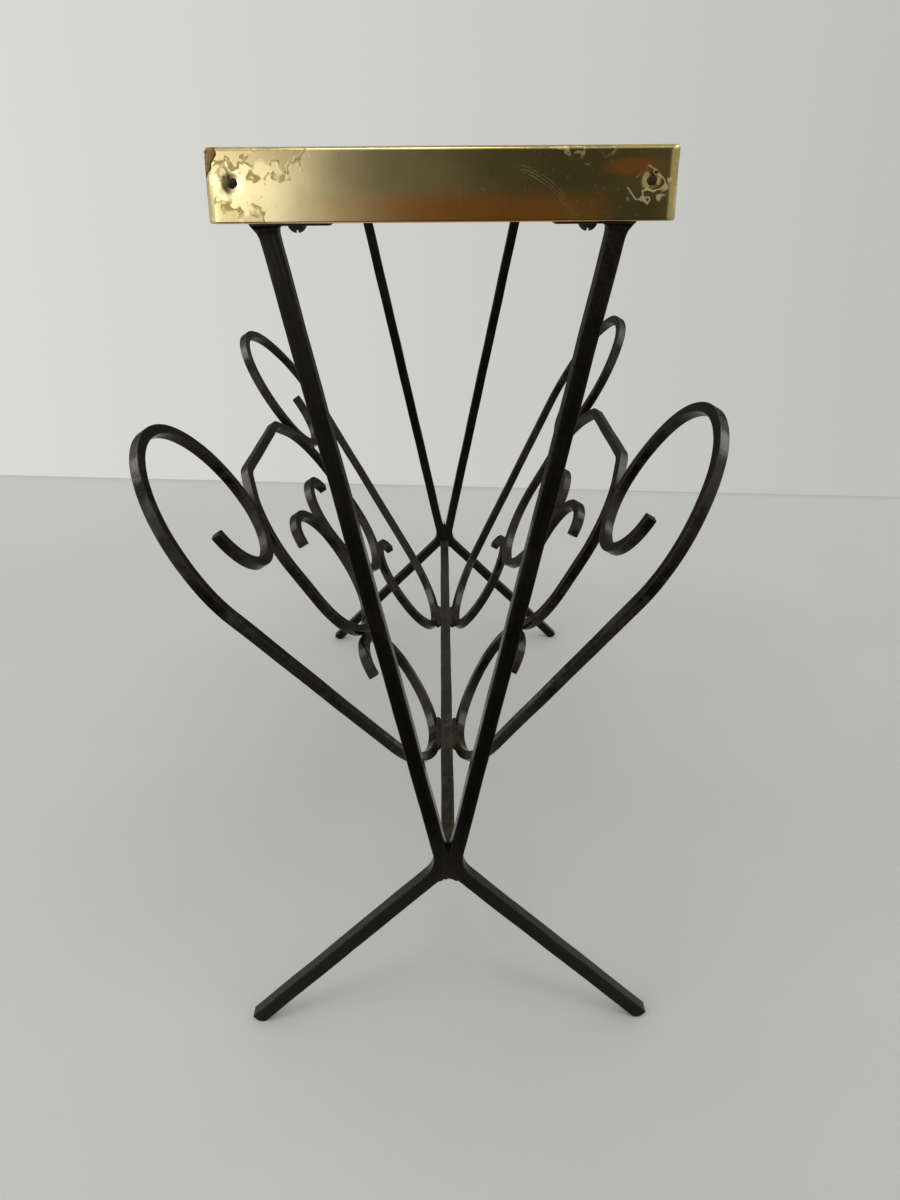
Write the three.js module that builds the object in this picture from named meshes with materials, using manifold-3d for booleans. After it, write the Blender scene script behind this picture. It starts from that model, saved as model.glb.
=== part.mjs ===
// Magazine rack: a narrow side table on two bent-bar leg frames, with a V-shaped cradle of scrolled
// steel bar hung between the frames on a spine bar. The top is a wooden board edged with a brass band.
//
// Millimetres, +Z up, X along the length. "near" is the -X end, "left" is the +Y side.
// The origin is the middle of the bounding box on the floor.

import * as THREE from 'three';
import { mergeVertices } from 'three/addons/utils/BufferGeometryUtils.js';
import Module from 'manifold-3d';

// ---- driving dimensions -------------------------------------------------------------------------

const GAP = 0.3; // space left between pieces that touch
const OVERCUT = 1; // how far a cutter runs past the face it opens
const SLIVER = 1e-3; // keeps a cone's mouth off the face it opens

// Top
const TOTAL_HEIGHT = 478;
const TOP_LENGTH = 528; // over the brass band
const TOP_WIDTH = 188;
const TOP_CORNER_RADIUS = 3;
const BAND_HEIGHT = 28;
const BAND_THICKNESS = 0.8;
const BAND_UPPER_LIP = 3; // how far the band folds in over the board
const BAND_LOWER_LIP = 2.5;
const BAND_SEAM = 0.8; // open butt seam in the middle of the right long side

// Tacks through the band at both ends, each in the dimple its hammering left
const TACK_INSET = 11; // from the top's side to the tack
const TACK_DROP = 13; // from the top's upper edge to the tack
const TACK_HEAD_DIAMETER = 4.2;
const TACK_HEAD_HEIGHT = 0.7;
const TACK_SHANK_DIAMETER = 1.4;
const TACK_LENGTH = 9;
const DIMPLE_DIAMETER = 9;
const DIMPLE_FLOOR_DIAMETER = 5.4;
const DIMPLE_DEPTH = 1.1;

// Leg frames: two bent bars each, side by side where they are welded together
const FRAME_INSET = 12; // from the top's end to the middle of a frame
const LEG_BAR = 8; // square bar
const LEG_TOP_INSET = 21.5; // from the top's side to the middle of a leg's upper end
const FOOT_SPREAD = 233; // between bar middles where they meet the floor
const JUNCTION_HEIGHT = 121; // where the two bars run side by side
const LEG_BEND_RADIUS = 20; // to the middle of the bar
const FOOT_GRIND = 1.6; // how much of the sawn corner is ground flat on the floor
const ARCH_WELD_TOP = 114; // filler metal under the junction
const ARCH_WELD_BOTTOM = 107;
const ARCH_WELD_RADIUS = 6; // hollow underside of the filler

// Straps welded on the leg tops, and the screws that hold the board to them
const STRAP_THICKNESS = 2;
const STRAP_WIDTH = 14;
const STRAP_INNER_REACH = 27; // from the leg's middle towards the middle of the top
const STRAP_OUTER_REACH = 6.5;
const SCREW_REACH = 12.5; // from the leg's middle to the screw
const SCREW_HEAD_DIAMETER = 8;
const SCREW_HEAD_HEIGHT = 3;
const SCREW_SHANK_DIAMETER = 3.5;
const SCREW_LENGTH = 16;
const SCREW_POINT_LENGTH = 4;
const SCREW_SLOT_WIDTH = 1.2;
const SCREW_SLOT_DEPTH = 1.4;

// Cradle
const SPINE_BAR = 8; // square bar
const SPINE_HEIGHT = 109; // floor to the middle of the spine
const SCROLL_BAR = 6; // square bar
const CRADLE_TILT = 31.5; // each side's slope from upright, degrees
const CRADLE_LEAN = 2; // the whole cradle tips this much to the left, degrees
const CRADLE_SHIFT = -20; // the cradle's middle along X

// Central scroll, one half from its top middle outwards, as a bar bender's schedule
const CENTRAL_HEIGHT = 216; // spine to the middle of the top bar, along the slope
const CENTRAL_TOP_RUN = 52;
const CENTRAL_SHOULDER_RADIUS = 20;
const CENTRAL_SHOULDER_TURN = 30;
const CENTRAL_SLOPE_RUN = 15;
const CENTRAL_SIDE_RADIUS = 56;
const CENTRAL_SIDE_RUN = 24;
const HOOK_RADIUS = 34.5;
const HOOK_TURN = 104;
const HOOK_TIP_RADIUS = 19;
const HOOK_TIP_TURN = 55;

// Outer scroll, from the point where it is welded to the spine: inwards to the lower curl ...
const LOWER_BEND_RADIUS = 45;
const LOWER_BEND_TURN = 91;
const LOWER_CURL_RADIUS = 38;
const LOWER_CURL_TURN = 106;
const LOWER_TIP_RADIUS = 19;
const LOWER_TIP_TURN = 54;
// ... and outwards up the side, over the lobe and down into the upper curl
const FLANK_RADIUS = 72;
const FLANK_TURN = 68;
const LOBE_RADIUS = 68;
const LOBE_TURN = 132;
const LOBE_RETURN_RADIUS = 57;
const LOBE_RETURN_TURN = 82;
const UPPER_CURL_RADIUS = 35;
const UPPER_CURL_TURN = 166;

const ARC_STEP = 10; // degrees of bend to each facet
const ROUND_FACETS = 20; // facets round a screw or tack

// ---- derived heights ----------------------------------------------------------------------------

const BAND_BOTTOM = TOTAL_HEIGHT - BAND_HEIGHT;
const BOARD_INSET = BAND_THICKNESS + GAP; // from the band's outside to the board
const BOARD_UNDERSIDE = BAND_BOTTOM + BOARD_INSET;
const BOARD_RIM_TOP = TOTAL_HEIGHT - BOARD_INSET; // the rebate that the band's upper lip lies in
const STRAP_TOP = BOARD_UNDERSIDE - GAP;
const STRAP_UNDERSIDE = STRAP_TOP - STRAP_THICKNESS;
const LEG_TOP = STRAP_UNDERSIDE - GAP;
const FRAME_X = TOP_LENGTH / 2 - FRAME_INSET;
const LEG_TOP_Y = TOP_WIDTH / 2 - LEG_TOP_INSET;

// ---- materials ----------------------------------------------------------------------------------

const blackPaint = new THREE.MeshStandardMaterial({ color: 0x1c1a17, roughness: 0.42, metalness: 0.35 });
const scrollPaint = new THREE.MeshStandardMaterial({ color: 0x24211c, roughness: 0.45, metalness: 0.35 });
const wornSpine = new THREE.MeshStandardMaterial({ color: 0x37302a, roughness: 0.5, metalness: 0.4 });
const weldMetal = new THREE.MeshStandardMaterial({ color: 0x25211d, roughness: 0.6, metalness: 0.4 });
const screwSteel = new THREE.MeshStandardMaterial({ color: 0x1d1a18, roughness: 0.5, metalness: 0.6 });
const tackSteel = new THREE.MeshStandardMaterial({ color: 0x2b2013, roughness: 0.65, metalness: 0.5 });
const agedBrass = new THREE.MeshStandardMaterial({ color: 0xb59b55, roughness: 0.25, metalness: 1 });
const brownWood = new THREE.MeshStandardMaterial({ color: 0x5a3a22, roughness: 0.55, metalness: 0 });

// ---- solids -------------------------------------------------------------------------------------

const wasm = await Module();
wasm.setup();

// A closed three.js geometry as a solid that can be cut and joined.
function toSolid(geometry) {
  const bare = geometry.clone();
  bare.deleteAttribute('normal');
  bare.deleteAttribute('uv');
  const merged = mergeVertices(bare, SLIVER / 10);
  const mesh = new wasm.Mesh({
    numProp: 3,
    vertProperties: Float32Array.from(merged.attributes.position.array),
    triVerts: Uint32Array.from(merged.index.array),
  });
  return new wasm.Manifold(mesh);
}

function toGeometry(solid) {
  const mesh = solid.getMesh();
  const geometry = new THREE.BufferGeometry();
  geometry.setAttribute('position', new THREE.BufferAttribute(mesh.vertProperties, 3));
  geometry.setIndex(new THREE.BufferAttribute(mesh.triVerts, 1));
  geometry.computeVertexNormals();
  return geometry;
}

const degrees = THREE.MathUtils.degToRad;

// ---- bars bent in a plane -----------------------------------------------------------------------

// Walks a bend schedule. A step is { run } for a straight, or { radius, turn } for a bend, where a
// positive turn is clockwise. Gives stations along the bar's middle line, each with its heading.
function followBends(start, heading, steps) {
  let point = start.clone();
  let angle = heading;
  const stations = [{ point: point.clone(), angle }];
  for (const { run = 0, radius = 0, turn = 0 } of steps) {
    const facets = Math.max(1, Math.ceil(Math.abs(turn) / ARC_STEP));
    const facetTurn = degrees(turn) / facets;
    const chord = run + 2 * radius * Math.sin(Math.abs(facetTurn) / 2);
    for (let i = 0; i < facets; i += 1) {
      angle -= facetTurn / 2;
      point = point.clone().add(new THREE.Vector2(Math.cos(angle), Math.sin(angle)).multiplyScalar(chord));
      angle -= facetTurn / 2;
      stations.push({ point: point.clone(), angle });
    }
  }
  return stations;
}

// The same bar walked from its other end.
function reversed(stations) {
  return [...stations].reverse().map(({ point, angle }) => ({ point, angle: angle + Math.PI }));
}

// The bar's mirror image across the upright line x = 0.
function mirrored(stations) {
  return stations.map(({ point, angle }) => ({
    point: new THREE.Vector2(-point.x, point.y),
    angle: Math.PI - angle,
  }));
}

// Both edges of a bar of the given width, as one closed outline.
function barOutline(stations, width) {
  const edge = (side) => stations.map(({ point, angle }) => new THREE.Vector2(
    point.x - side * Math.sin(angle) * width / 2,
    point.y + side * Math.cos(angle) * width / 2,
  ));
  return [...edge(1), ...edge(-1).reverse()];
}

// Cuts away what lies beyond a level line: keep is 1 for what is above it, -1 for what is below.
function trimOutline(outline, level, keep) {
  const kept = [];
  outline.forEach((point, i) => {
    const next = outline[(i + 1) % outline.length];
    const height = keep * (point.y - level);
    const nextHeight = keep * (next.y - level);
    if (height >= 0) kept.push(point);
    if (height * nextHeight < 0) kept.push(point.clone().lerp(next, height / (height - nextHeight)));
  });
  return kept;
}

// A flat outline given a thickness, centred on the outline's plane.
function slab(outline, thickness) {
  const shape = new THREE.Shape(outline);
  const geometry = new THREE.ExtrudeGeometry(shape, { depth: thickness, bevelEnabled: false });
  return geometry.translate(0, 0, -thickness / 2);
}

// ---- leg frames ---------------------------------------------------------------------------------

const LEG_APEX_Y = (LEG_BAR + GAP) / 2; // the bar's middle where the two bars stand side by side
const LEG_BEND_Y = LEG_APEX_Y + LEG_BEND_RADIUS; // centre of the bend

// How far a bar has to bend from upright, on this radius, for its straight to reach a point that is
// "rise" above (or below) the apex and "reach" out from it.
function bendAngleTo(rise, reach, radius) {
  const across = reach - radius;
  return Math.asin(radius / Math.hypot(rise, across)) + Math.atan2(across, rise);
}

const upperBend = bendAngleTo(LEG_TOP - JUNCTION_HEIGHT, LEG_TOP_Y - LEG_APEX_Y, LEG_BEND_RADIUS);
const lowerBend = bendAngleTo(JUNCTION_HEIGHT, FOOT_SPREAD / 2 - LEG_APEX_Y, LEG_BEND_RADIUS);

// Length of the straight from the end of a bend until the bar's middle has moved "rise" in all.
function straightTo(rise, bend) {
  return (rise - LEG_BEND_RADIUS * Math.sin(bend)) / Math.cos(bend);
}

// One leg's outline, in Y and Z, on the left side of its frame.
function legOutline() {
  const apex = new THREE.Vector2(LEG_APEX_Y, JUNCTION_HEIGHT);
  const topRun = straightTo(LEG_TOP - JUNCTION_HEIGHT, upperBend) + LEG_BAR; // trimmed level below
  const footEndHeight = LEG_BAR / 2 * Math.sin(lowerBend) - FOOT_GRIND;
  const footRun = straightTo(JUNCTION_HEIGHT - footEndHeight, lowerBend);
  const upper = followBends(apex, Math.PI / 2, [
    { radius: LEG_BEND_RADIUS, turn: THREE.MathUtils.radToDeg(upperBend) },
    { run: topRun },
  ]);
  const lower = followBends(apex, -Math.PI / 2, [
    { radius: LEG_BEND_RADIUS, turn: -THREE.MathUtils.radToDeg(lowerBend) },
    { run: footRun },
  ]);
  const whole = barOutline([...reversed(lower).slice(0, -1), ...upper], LEG_BAR);
  return trimOutline(trimOutline(whole, 0, 1), LEG_TOP, -1);
}

// Turns a geometry drawn in (Y, Z) and extruded along X into place: (x, y, z) becomes (z, x, y).
function standAcross(geometry) {
  const turn = new THREE.Matrix4().makeBasis(
    new THREE.Vector3(0, 1, 0),
    new THREE.Vector3(0, 0, 1),
    new THREE.Vector3(1, 0, 0),
  );
  return geometry.applyMatrix4(turn);
}

function legGeometry(side) {
  const outline = legOutline().map(({ x, y }) => new THREE.Vector2(side * x, y));
  return standAcross(slab(outline, LEG_BAR));
}

// Filler metal between the two bars just under the junction, with a hollow underside.
function archWeldGeometry() {
  const flankRadius = LEG_BEND_RADIUS + LEG_BAR / 2 + GAP;
  const flankY = (z) => LEG_BEND_Y - Math.sqrt(flankRadius ** 2 - (JUNCTION_HEIGHT - z) ** 2);
  const halfFoot = flankY(ARCH_WELD_BOTTOM);
  const hollowDepth = ARCH_WELD_RADIUS - Math.sqrt(ARCH_WELD_RADIUS ** 2 - halfFoot ** 2);
  const facets = 6;
  const flank = [];
  for (let i = 0; i <= facets; i += 1) {
    const z = THREE.MathUtils.lerp(ARCH_WELD_BOTTOM, ARCH_WELD_TOP, i / facets);
    flank.push(new THREE.Vector2(flankY(z), z));
  }
  const hollow = [];
  for (let i = 1; i < 2 * facets; i += 1) {
    const y = THREE.MathUtils.lerp(-halfFoot, halfFoot, i / (2 * facets));
    const rise = Math.sqrt(ARCH_WELD_RADIUS ** 2 - y ** 2) - ARCH_WELD_RADIUS + hollowDepth;
    hollow.push(new THREE.Vector2(y, ARCH_WELD_BOTTOM + rise));
  }
  const otherFlank = flank.map(({ x, y }) => new THREE.Vector2(-x, y)).reverse();
  return standAcross(slab([...flank, ...otherFlank, ...hollow], LEG_BAR));
}

// ---- straps, screws and tacks -------------------------------------------------------------------

const SCREW_Y = LEG_TOP_Y - SCREW_REACH;

function cylinderAlongZ(diameter, bottom, top) {
  const geometry = new THREE.CylinderGeometry(diameter / 2, diameter / 2, top - bottom, ROUND_FACETS);
  return geometry.rotateX(Math.PI / 2).translate(0, 0, (top + bottom) / 2);
}

// Strap on the left leg of a frame that stands at x = 0, with a clearance hole for its screw.
function strapGeometry(side) {
  const inner = LEG_TOP_Y - STRAP_INNER_REACH;
  const outer = LEG_TOP_Y + STRAP_OUTER_REACH;
  const plate = new THREE.BoxGeometry(STRAP_WIDTH, outer - inner, STRAP_THICKNESS);
  plate.translate(0, side * (inner + outer) / 2, (STRAP_TOP + STRAP_UNDERSIDE) / 2);
  const hole = cylinderAlongZ(SCREW_SHANK_DIAMETER + 2 * GAP, STRAP_UNDERSIDE - OVERCUT, STRAP_TOP + OVERCUT);
  hole.translate(0, side * SCREW_Y, 0);
  return toGeometry(toSolid(plate).subtract(toSolid(hole)));
}

// A round head, a shank and a point, turned about Y: the head's flat side is at y = 0 and the shank
// runs along +Y.
function headedPin(headDiameter, headHeight, shankDiameter, length, pointLength) {
  const head = headDiameter / 2;
  const domeRadius = (head ** 2 + headHeight ** 2) / (2 * headHeight);
  const domeAngle = Math.asin(head / domeRadius);
  const profile = [];
  const facets = 5;
  for (let i = 0; i <= facets; i += 1) {
    const angle = domeAngle * i / facets;
    const height = domeRadius * Math.cos(angle) - (domeRadius - headHeight);
    profile.push(new THREE.Vector2(domeRadius * Math.sin(angle), -height));
  }
  profile.push(new THREE.Vector2(shankDiameter / 2, 0));
  profile.push(new THREE.Vector2(shankDiameter / 2, length - pointLength));
  profile.push(new THREE.Vector2(0, length));
  return new THREE.LatheGeometry(profile, ROUND_FACETS);
}

// Slotted round-head screw, head down, with its slot along X.
function screwGeometry() {
  const pin = headedPin(
    SCREW_HEAD_DIAMETER,
    SCREW_HEAD_HEIGHT,
    SCREW_SHANK_DIAMETER,
    SCREW_LENGTH,
    SCREW_POINT_LENGTH,
  ).rotateX(Math.PI / 2);
  const slot = new THREE.BoxGeometry(SCREW_HEAD_DIAMETER * 2, SCREW_SLOT_WIDTH, SCREW_SLOT_DEPTH * 2);
  slot.translate(0, 0, -SCREW_HEAD_HEIGHT);
  return toGeometry(toSolid(pin).subtract(toSolid(slot)));
}

// Domed tack with its shank along +X.
function tackGeometry() {
  const pin = headedPin(
    TACK_HEAD_DIAMETER,
    TACK_HEAD_HEIGHT,
    TACK_SHANK_DIAMETER,
    TACK_LENGTH,
    TACK_SHANK_DIAMETER,
  );
  return pin.rotateZ(-Math.PI / 2);
}

// ---- the top ------------------------------------------------------------------------------------

const TACK_Y = TOP_WIDTH / 2 - TACK_INSET;
const TACK_Z = TOTAL_HEIGHT - TACK_DROP;
const TOP_END = TOP_LENGTH / 2;

// The top's plan, drawn in from its outside by inset, as a slab between two heights.
function topSlab(inset, bottom, top) {
  const x = TOP_LENGTH / 2 - inset;
  const y = TOP_WIDTH / 2 - inset;
  const radius = Math.max(TOP_CORNER_RADIUS - inset, GAP);
  const plan = new THREE.Shape();
  plan.moveTo(x, -y + radius);
  plan.absarc(x - radius, y - radius, radius, 0, Math.PI / 2);
  plan.absarc(-x + radius, y - radius, radius, Math.PI / 2, Math.PI);
  plan.absarc(-x + radius, -y + radius, radius, Math.PI, Math.PI * 1.5);
  plan.absarc(x - radius, -y + radius, radius, Math.PI * 1.5, Math.PI * 2);
  const geometry = new THREE.ExtrudeGeometry(plan, {
    depth: top - bottom,
    bevelEnabled: false,
    curveSegments: 5,
  });
  return geometry.translate(0, 0, bottom);
}

// A blunt cone sunk into the near end of the top: its mouth is at "start" inside the outer face.
function dimpleCone(grow, start, depth) {
  const mouth = DIMPLE_DIAMETER / 2 + grow;
  const floor = DIMPLE_FLOOR_DIAMETER / 2 + grow;
  const cone = new THREE.CylinderGeometry(floor, mouth, depth, ROUND_FACETS);
  return cone.rotateZ(-Math.PI / 2).translate(-TOP_END + start + depth / 2, 0, 0);
}

// Calls back for each of the four tacks with a function that puts near-end geometry in its place.
function forEachTack(work) {
  for (const end of [1, -1]) {
    for (const side of [1, -1]) {
      const place = (geometry) => {
        geometry.translate(0, side * TACK_Y, TACK_Z);
        if (end < 0) geometry.rotateZ(Math.PI).translate(0, 2 * side * TACK_Y, 0);
        return geometry;
      };
      work(place, end, side);
    }
  }
}

function tackHole() {
  const hole = new THREE.CylinderGeometry(
    TACK_SHANK_DIAMETER / 2 + GAP,
    TACK_SHANK_DIAMETER / 2 + GAP,
    TACK_LENGTH + DIMPLE_DEPTH + 4 * GAP,
    ROUND_FACETS,
  );
  return hole.rotateZ(Math.PI / 2).translate(-TOP_END + (TACK_LENGTH + DIMPLE_DEPTH + 4 * GAP) / 2, 0, 0);
}

function bandGeometry() {
  const lowerLip = BAND_BOTTOM + BAND_THICKNESS;
  const upperLip = TOTAL_HEIGHT - BAND_THICKNESS;
  let band = toSolid(topSlab(0, BAND_BOTTOM, TOTAL_HEIGHT));
  band = band.subtract(toSolid(topSlab(BAND_THICKNESS, lowerLip, upperLip)));
  band = band.subtract(toSolid(topSlab(BAND_UPPER_LIP, upperLip - BAND_THICKNESS, TOTAL_HEIGHT + OVERCUT)));
  band = band.subtract(toSolid(topSlab(BAND_LOWER_LIP, BAND_BOTTOM - OVERCUT, lowerLip + BAND_THICKNESS)));
  forEachTack((place) => {
    const bulge = dimpleCone(BAND_THICKNESS / 2, BAND_THICKNESS / 2, DIMPLE_DEPTH + BAND_THICKNESS / 2);
    const dimple = dimpleCone(0, -SLIVER, DIMPLE_DEPTH + SLIVER);
    band = band.add(toSolid(place(bulge)));
    band = band.subtract(toSolid(place(dimple)));
    band = band.subtract(toSolid(place(tackHole())));
  });
  const seam = new THREE.BoxGeometry(BAND_SEAM, BAND_UPPER_LIP * 4, BAND_HEIGHT * 2);
  seam.translate(0, -TOP_WIDTH / 2, TOTAL_HEIGHT - BAND_HEIGHT / 2);
  return toGeometry(band.subtract(toSolid(seam)));
}

// The board stands level with the band's upper lip, which lies in a rebate round its edge.
function boardGeometry() {
  const field = toSolid(topSlab(BAND_UPPER_LIP + GAP, BOARD_UNDERSIDE, TOTAL_HEIGHT));
  const rim = toSolid(topSlab(BOARD_INSET, BOARD_UNDERSIDE, BOARD_RIM_TOP));
  let board = field.add(rim);
  for (const end of [1, -1]) {
    for (const side of [1, -1]) {
      const pilot = cylinderAlongZ(
        SCREW_SHANK_DIAMETER + 2 * GAP,
        BOARD_UNDERSIDE - OVERCUT,
        LEG_TOP + SCREW_LENGTH + GAP,
      );
      pilot.translate(end * FRAME_X, side * SCREW_Y, 0);
      board = board.subtract(toSolid(pilot));
    }
  }
  forEachTack((place) => {
    const dent = dimpleCone(BAND_THICKNESS / 2 + GAP, BAND_THICKNESS, DIMPLE_DEPTH + GAP);
    board = board.subtract(toSolid(place(dent)));
    board = board.subtract(toSolid(place(tackHole())));
  });
  return toGeometry(board);
}

// ---- cradle scrolls -----------------------------------------------------------------------------

const TOUCHING = SCROLL_BAR + GAP; // between the middles of two scroll bars that are welded together

// Where the central scroll's side bend has its centre, and its foot bend, which is sized so that its
// inner end runs up the middle line beside its mirror image.
const shoulder = degrees(CENTRAL_SHOULDER_TURN);
const shoulderDrop = CENTRAL_SHOULDER_RADIUS * (1 - Math.cos(shoulder));
const sideBendStart = new THREE.Vector2(
  CENTRAL_TOP_RUN + CENTRAL_SHOULDER_RADIUS * Math.sin(shoulder) + CENTRAL_SLOPE_RUN * Math.cos(shoulder),
  CENTRAL_HEIGHT - shoulderDrop - CENTRAL_SLOPE_RUN * Math.sin(shoulder),
);
const sideBendCentre = new THREE.Vector2(
  sideBendStart.x - CENTRAL_SIDE_RADIUS * Math.sin(shoulder),
  sideBendStart.y - CENTRAL_SIDE_RADIUS * Math.cos(shoulder),
);
const CENTRAL_HALF_WIDTH = sideBendCentre.x + CENTRAL_SIDE_RADIUS;
const FOOT_BEND_RADIUS = (CENTRAL_HALF_WIDTH - TOUCHING / 2) / 2;
const footBendCentre = new THREE.Vector2(
  CENTRAL_HALF_WIDTH - FOOT_BEND_RADIUS,
  sideBendCentre.y - CENTRAL_SIDE_RUN,
);

// The centre of the next bend in a row of bends, from the centre of the last one, the angle turned so
// far and the change of radius. Turns run counter-clockwise from heading +X.
function nextCentre(centre, heading, radiusChange) {
  return new THREE.Vector2(
    centre.x - radiusChange * Math.sin(heading),
    centre.y + radiusChange * Math.cos(heading),
  );
}

// The outer scroll's weld to the spine sits where its lower curl just touches the foot bend.
const lowerHeading = -degrees(LOWER_BEND_TURN);
const curlCentre = nextCentre(
  new THREE.Vector2(0, LOWER_BEND_RADIUS),
  lowerHeading,
  LOWER_CURL_RADIUS - LOWER_BEND_RADIUS,
);
const curlReach = LOWER_CURL_RADIUS + FOOT_BEND_RADIUS + TOUCHING;
const curlDrop = footBendCentre.y - curlCentre.y;
const SPINE_WELD = footBendCentre.x - curlCentre.x + Math.sqrt(curlReach ** 2 - curlDrop ** 2);

// The straight flank is as long as it must be for the upper curl to just touch the side bend.
const flankEnd = degrees(FLANK_TURN);
const lobeEnd = flankEnd + degrees(LOBE_TURN);
const lobeReturnEnd = lobeEnd + degrees(LOBE_RETURN_TURN);
const flankDirection = new THREE.Vector2(Math.cos(flankEnd), Math.sin(flankEnd));
let upperCurlCentre = new THREE.Vector2(SPINE_WELD, FLANK_RADIUS);
upperCurlCentre = nextCentre(upperCurlCentre, flankEnd, LOBE_RADIUS - FLANK_RADIUS);
upperCurlCentre = nextCentre(upperCurlCentre, lobeEnd, LOBE_RETURN_RADIUS - LOBE_RADIUS);
upperCurlCentre = nextCentre(upperCurlCentre, lobeReturnEnd, UPPER_CURL_RADIUS - LOBE_RETURN_RADIUS);
const away = upperCurlCentre.sub(sideBendCentre);
const along = away.dot(flankDirection);
const sideReach = UPPER_CURL_RADIUS + CENTRAL_SIDE_RADIUS + TOUCHING;
const FLANK_RUN = -along + Math.sqrt(along ** 2 - away.lengthSq() + sideReach ** 2);

function centralScroll() {
  const half = followBends(new THREE.Vector2(0, CENTRAL_HEIGHT), 0, [
    { run: CENTRAL_TOP_RUN },
    { radius: CENTRAL_SHOULDER_RADIUS, turn: CENTRAL_SHOULDER_TURN },
    { run: CENTRAL_SLOPE_RUN },
    { radius: CENTRAL_SIDE_RADIUS, turn: 90 - CENTRAL_SHOULDER_TURN },
    { run: CENTRAL_SIDE_RUN },
    { radius: FOOT_BEND_RADIUS, turn: 180 },
    { radius: HOOK_RADIUS, turn: HOOK_TURN },
    { radius: HOOK_TIP_RADIUS, turn: HOOK_TIP_TURN },
  ]);
  const other = reversed(mirrored(half));
  return [...other.slice(0, -1), ...half.slice(1)];
}

// The outer scroll on the +X side of the cradle.
function outerScroll() {
  const weld = new THREE.Vector2(SPINE_WELD, 0);
  const inner = followBends(weld, Math.PI, [
    { radius: LOWER_BEND_RADIUS, turn: LOWER_BEND_TURN },
    { radius: LOWER_CURL_RADIUS, turn: LOWER_CURL_TURN },
    { radius: LOWER_TIP_RADIUS, turn: LOWER_TIP_TURN },
  ]);
  const outer = followBends(weld, 0, [
    { radius: FLANK_RADIUS, turn: -FLANK_TURN },
    { run: FLANK_RUN },
    { radius: LOBE_RADIUS, turn: -LOBE_TURN },
    { radius: LOBE_RETURN_RADIUS, turn: -LOBE_RETURN_TURN },
    { radius: UPPER_CURL_RADIUS, turn: -UPPER_CURL_TURN },
  ]);
  return [...reversed(outer).slice(0, -1), ...inner];
}

// ---- assembly -----------------------------------------------------------------------------------

function addMesh(group, name, geometry, material) {
  const mesh = new THREE.Mesh(geometry, material);
  mesh.name = name;
  group.add(mesh);
  return mesh;
}

function buildTop() {
  const group = new THREE.Group();
  addMesh(group, 'top_board', boardGeometry(), brownWood);
  addMesh(group, 'brass_band', bandGeometry(), agedBrass);
  forEachTack((place, end, side) => {
    const tack = tackGeometry().translate(-TOP_END + DIMPLE_DEPTH - GAP, 0, 0);
    addMesh(group, `band_tack_${endName(end)}_${sideName(side)}`, place(tack), tackSteel);
  });
  return group;
}

function endName(end) {
  return end > 0 ? 'near' : 'far';
}

function sideName(side) {
  return side > 0 ? 'left' : 'right';
}

function buildFrame(end) {
  const group = new THREE.Group();
  group.position.x = -end * FRAME_X;
  for (const side of [1, -1]) {
    const place = `${endName(end)}_${sideName(side)}`;
    addMesh(group, `leg_${place}`, legGeometry(side), blackPaint);
    addMesh(group, `leg_strap_${place}`, strapGeometry(side), blackPaint);
    const screw = addMesh(group, `strap_screw_${place}`, screwGeometry(), screwSteel);
    screw.position.set(0, side * SCREW_Y, LEG_TOP);
  }
  addMesh(group, `arch_weld_${endName(end)}`, archWeldGeometry(), weldMetal);
  return group;
}

// One sloping side of the cradle: a central scroll between two outer ones, in one flat plane.
function buildCradleSide(side) {
  const tilt = degrees(CRADLE_TILT + side * CRADLE_LEAN);
  const barHalfWidth = SCROLL_BAR / 2 * (Math.cos(tilt) + Math.sin(tilt));
  const group = new THREE.Group();
  group.position.set(CRADLE_SHIFT, side * (SPINE_BAR / 2 + GAP + barHalfWidth), SPINE_HEIGHT);
  group.rotation.x = Math.PI / 2 - side * tilt;
  const name = sideName(side);
  const far = outerScroll();
  const near = mirrored(far);
  const bar = (stations) => slab(barOutline(stations, SCROLL_BAR), SCROLL_BAR);
  addMesh(group, `central_scroll_${name}`, bar(centralScroll()), scrollPaint);
  addMesh(group, `outer_scroll_far_${name}`, bar(far), scrollPaint);
  addMesh(group, `outer_scroll_near_${name}`, bar(near), scrollPaint);
  return group;
}

function buildSpine() {
  const group = new THREE.Group();
  const length = 2 * FRAME_X - LEG_BAR - 2 * GAP;
  const spine = addMesh(group, 'spine_bar', new THREE.BoxGeometry(length, SPINE_BAR, SPINE_BAR), wornSpine);
  spine.position.z = SPINE_HEIGHT;
  return group;
}

const magazineRack = new THREE.Group();
magazineRack.add(buildTop(), buildSpine());
magazineRack.add(buildFrame(1), buildFrame(-1));
magazineRack.add(buildCradleSide(1), buildCradleSide(-1));

// The lean of the cradle makes one side reach further out, so the model is moved to stand centred.
const bounds = new THREE.Box3().setFromObject(magazineRack, true);
const middle = bounds.getCenter(new THREE.Vector3());
magazineRack.position.set(-middle.x, -middle.y, -bounds.min.z);
magazineRack.updateMatrixWorld(true);

export default magazineRack;
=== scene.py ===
"""Magazine rack: brass-edged table top on bent-bar legs, with a cradle of scrolled steel bar.

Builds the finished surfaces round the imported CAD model. Metres, +Z up, X along the length. "near" is the
-X end and "left" is the +Y side, as in the CAD model.
"""

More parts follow.
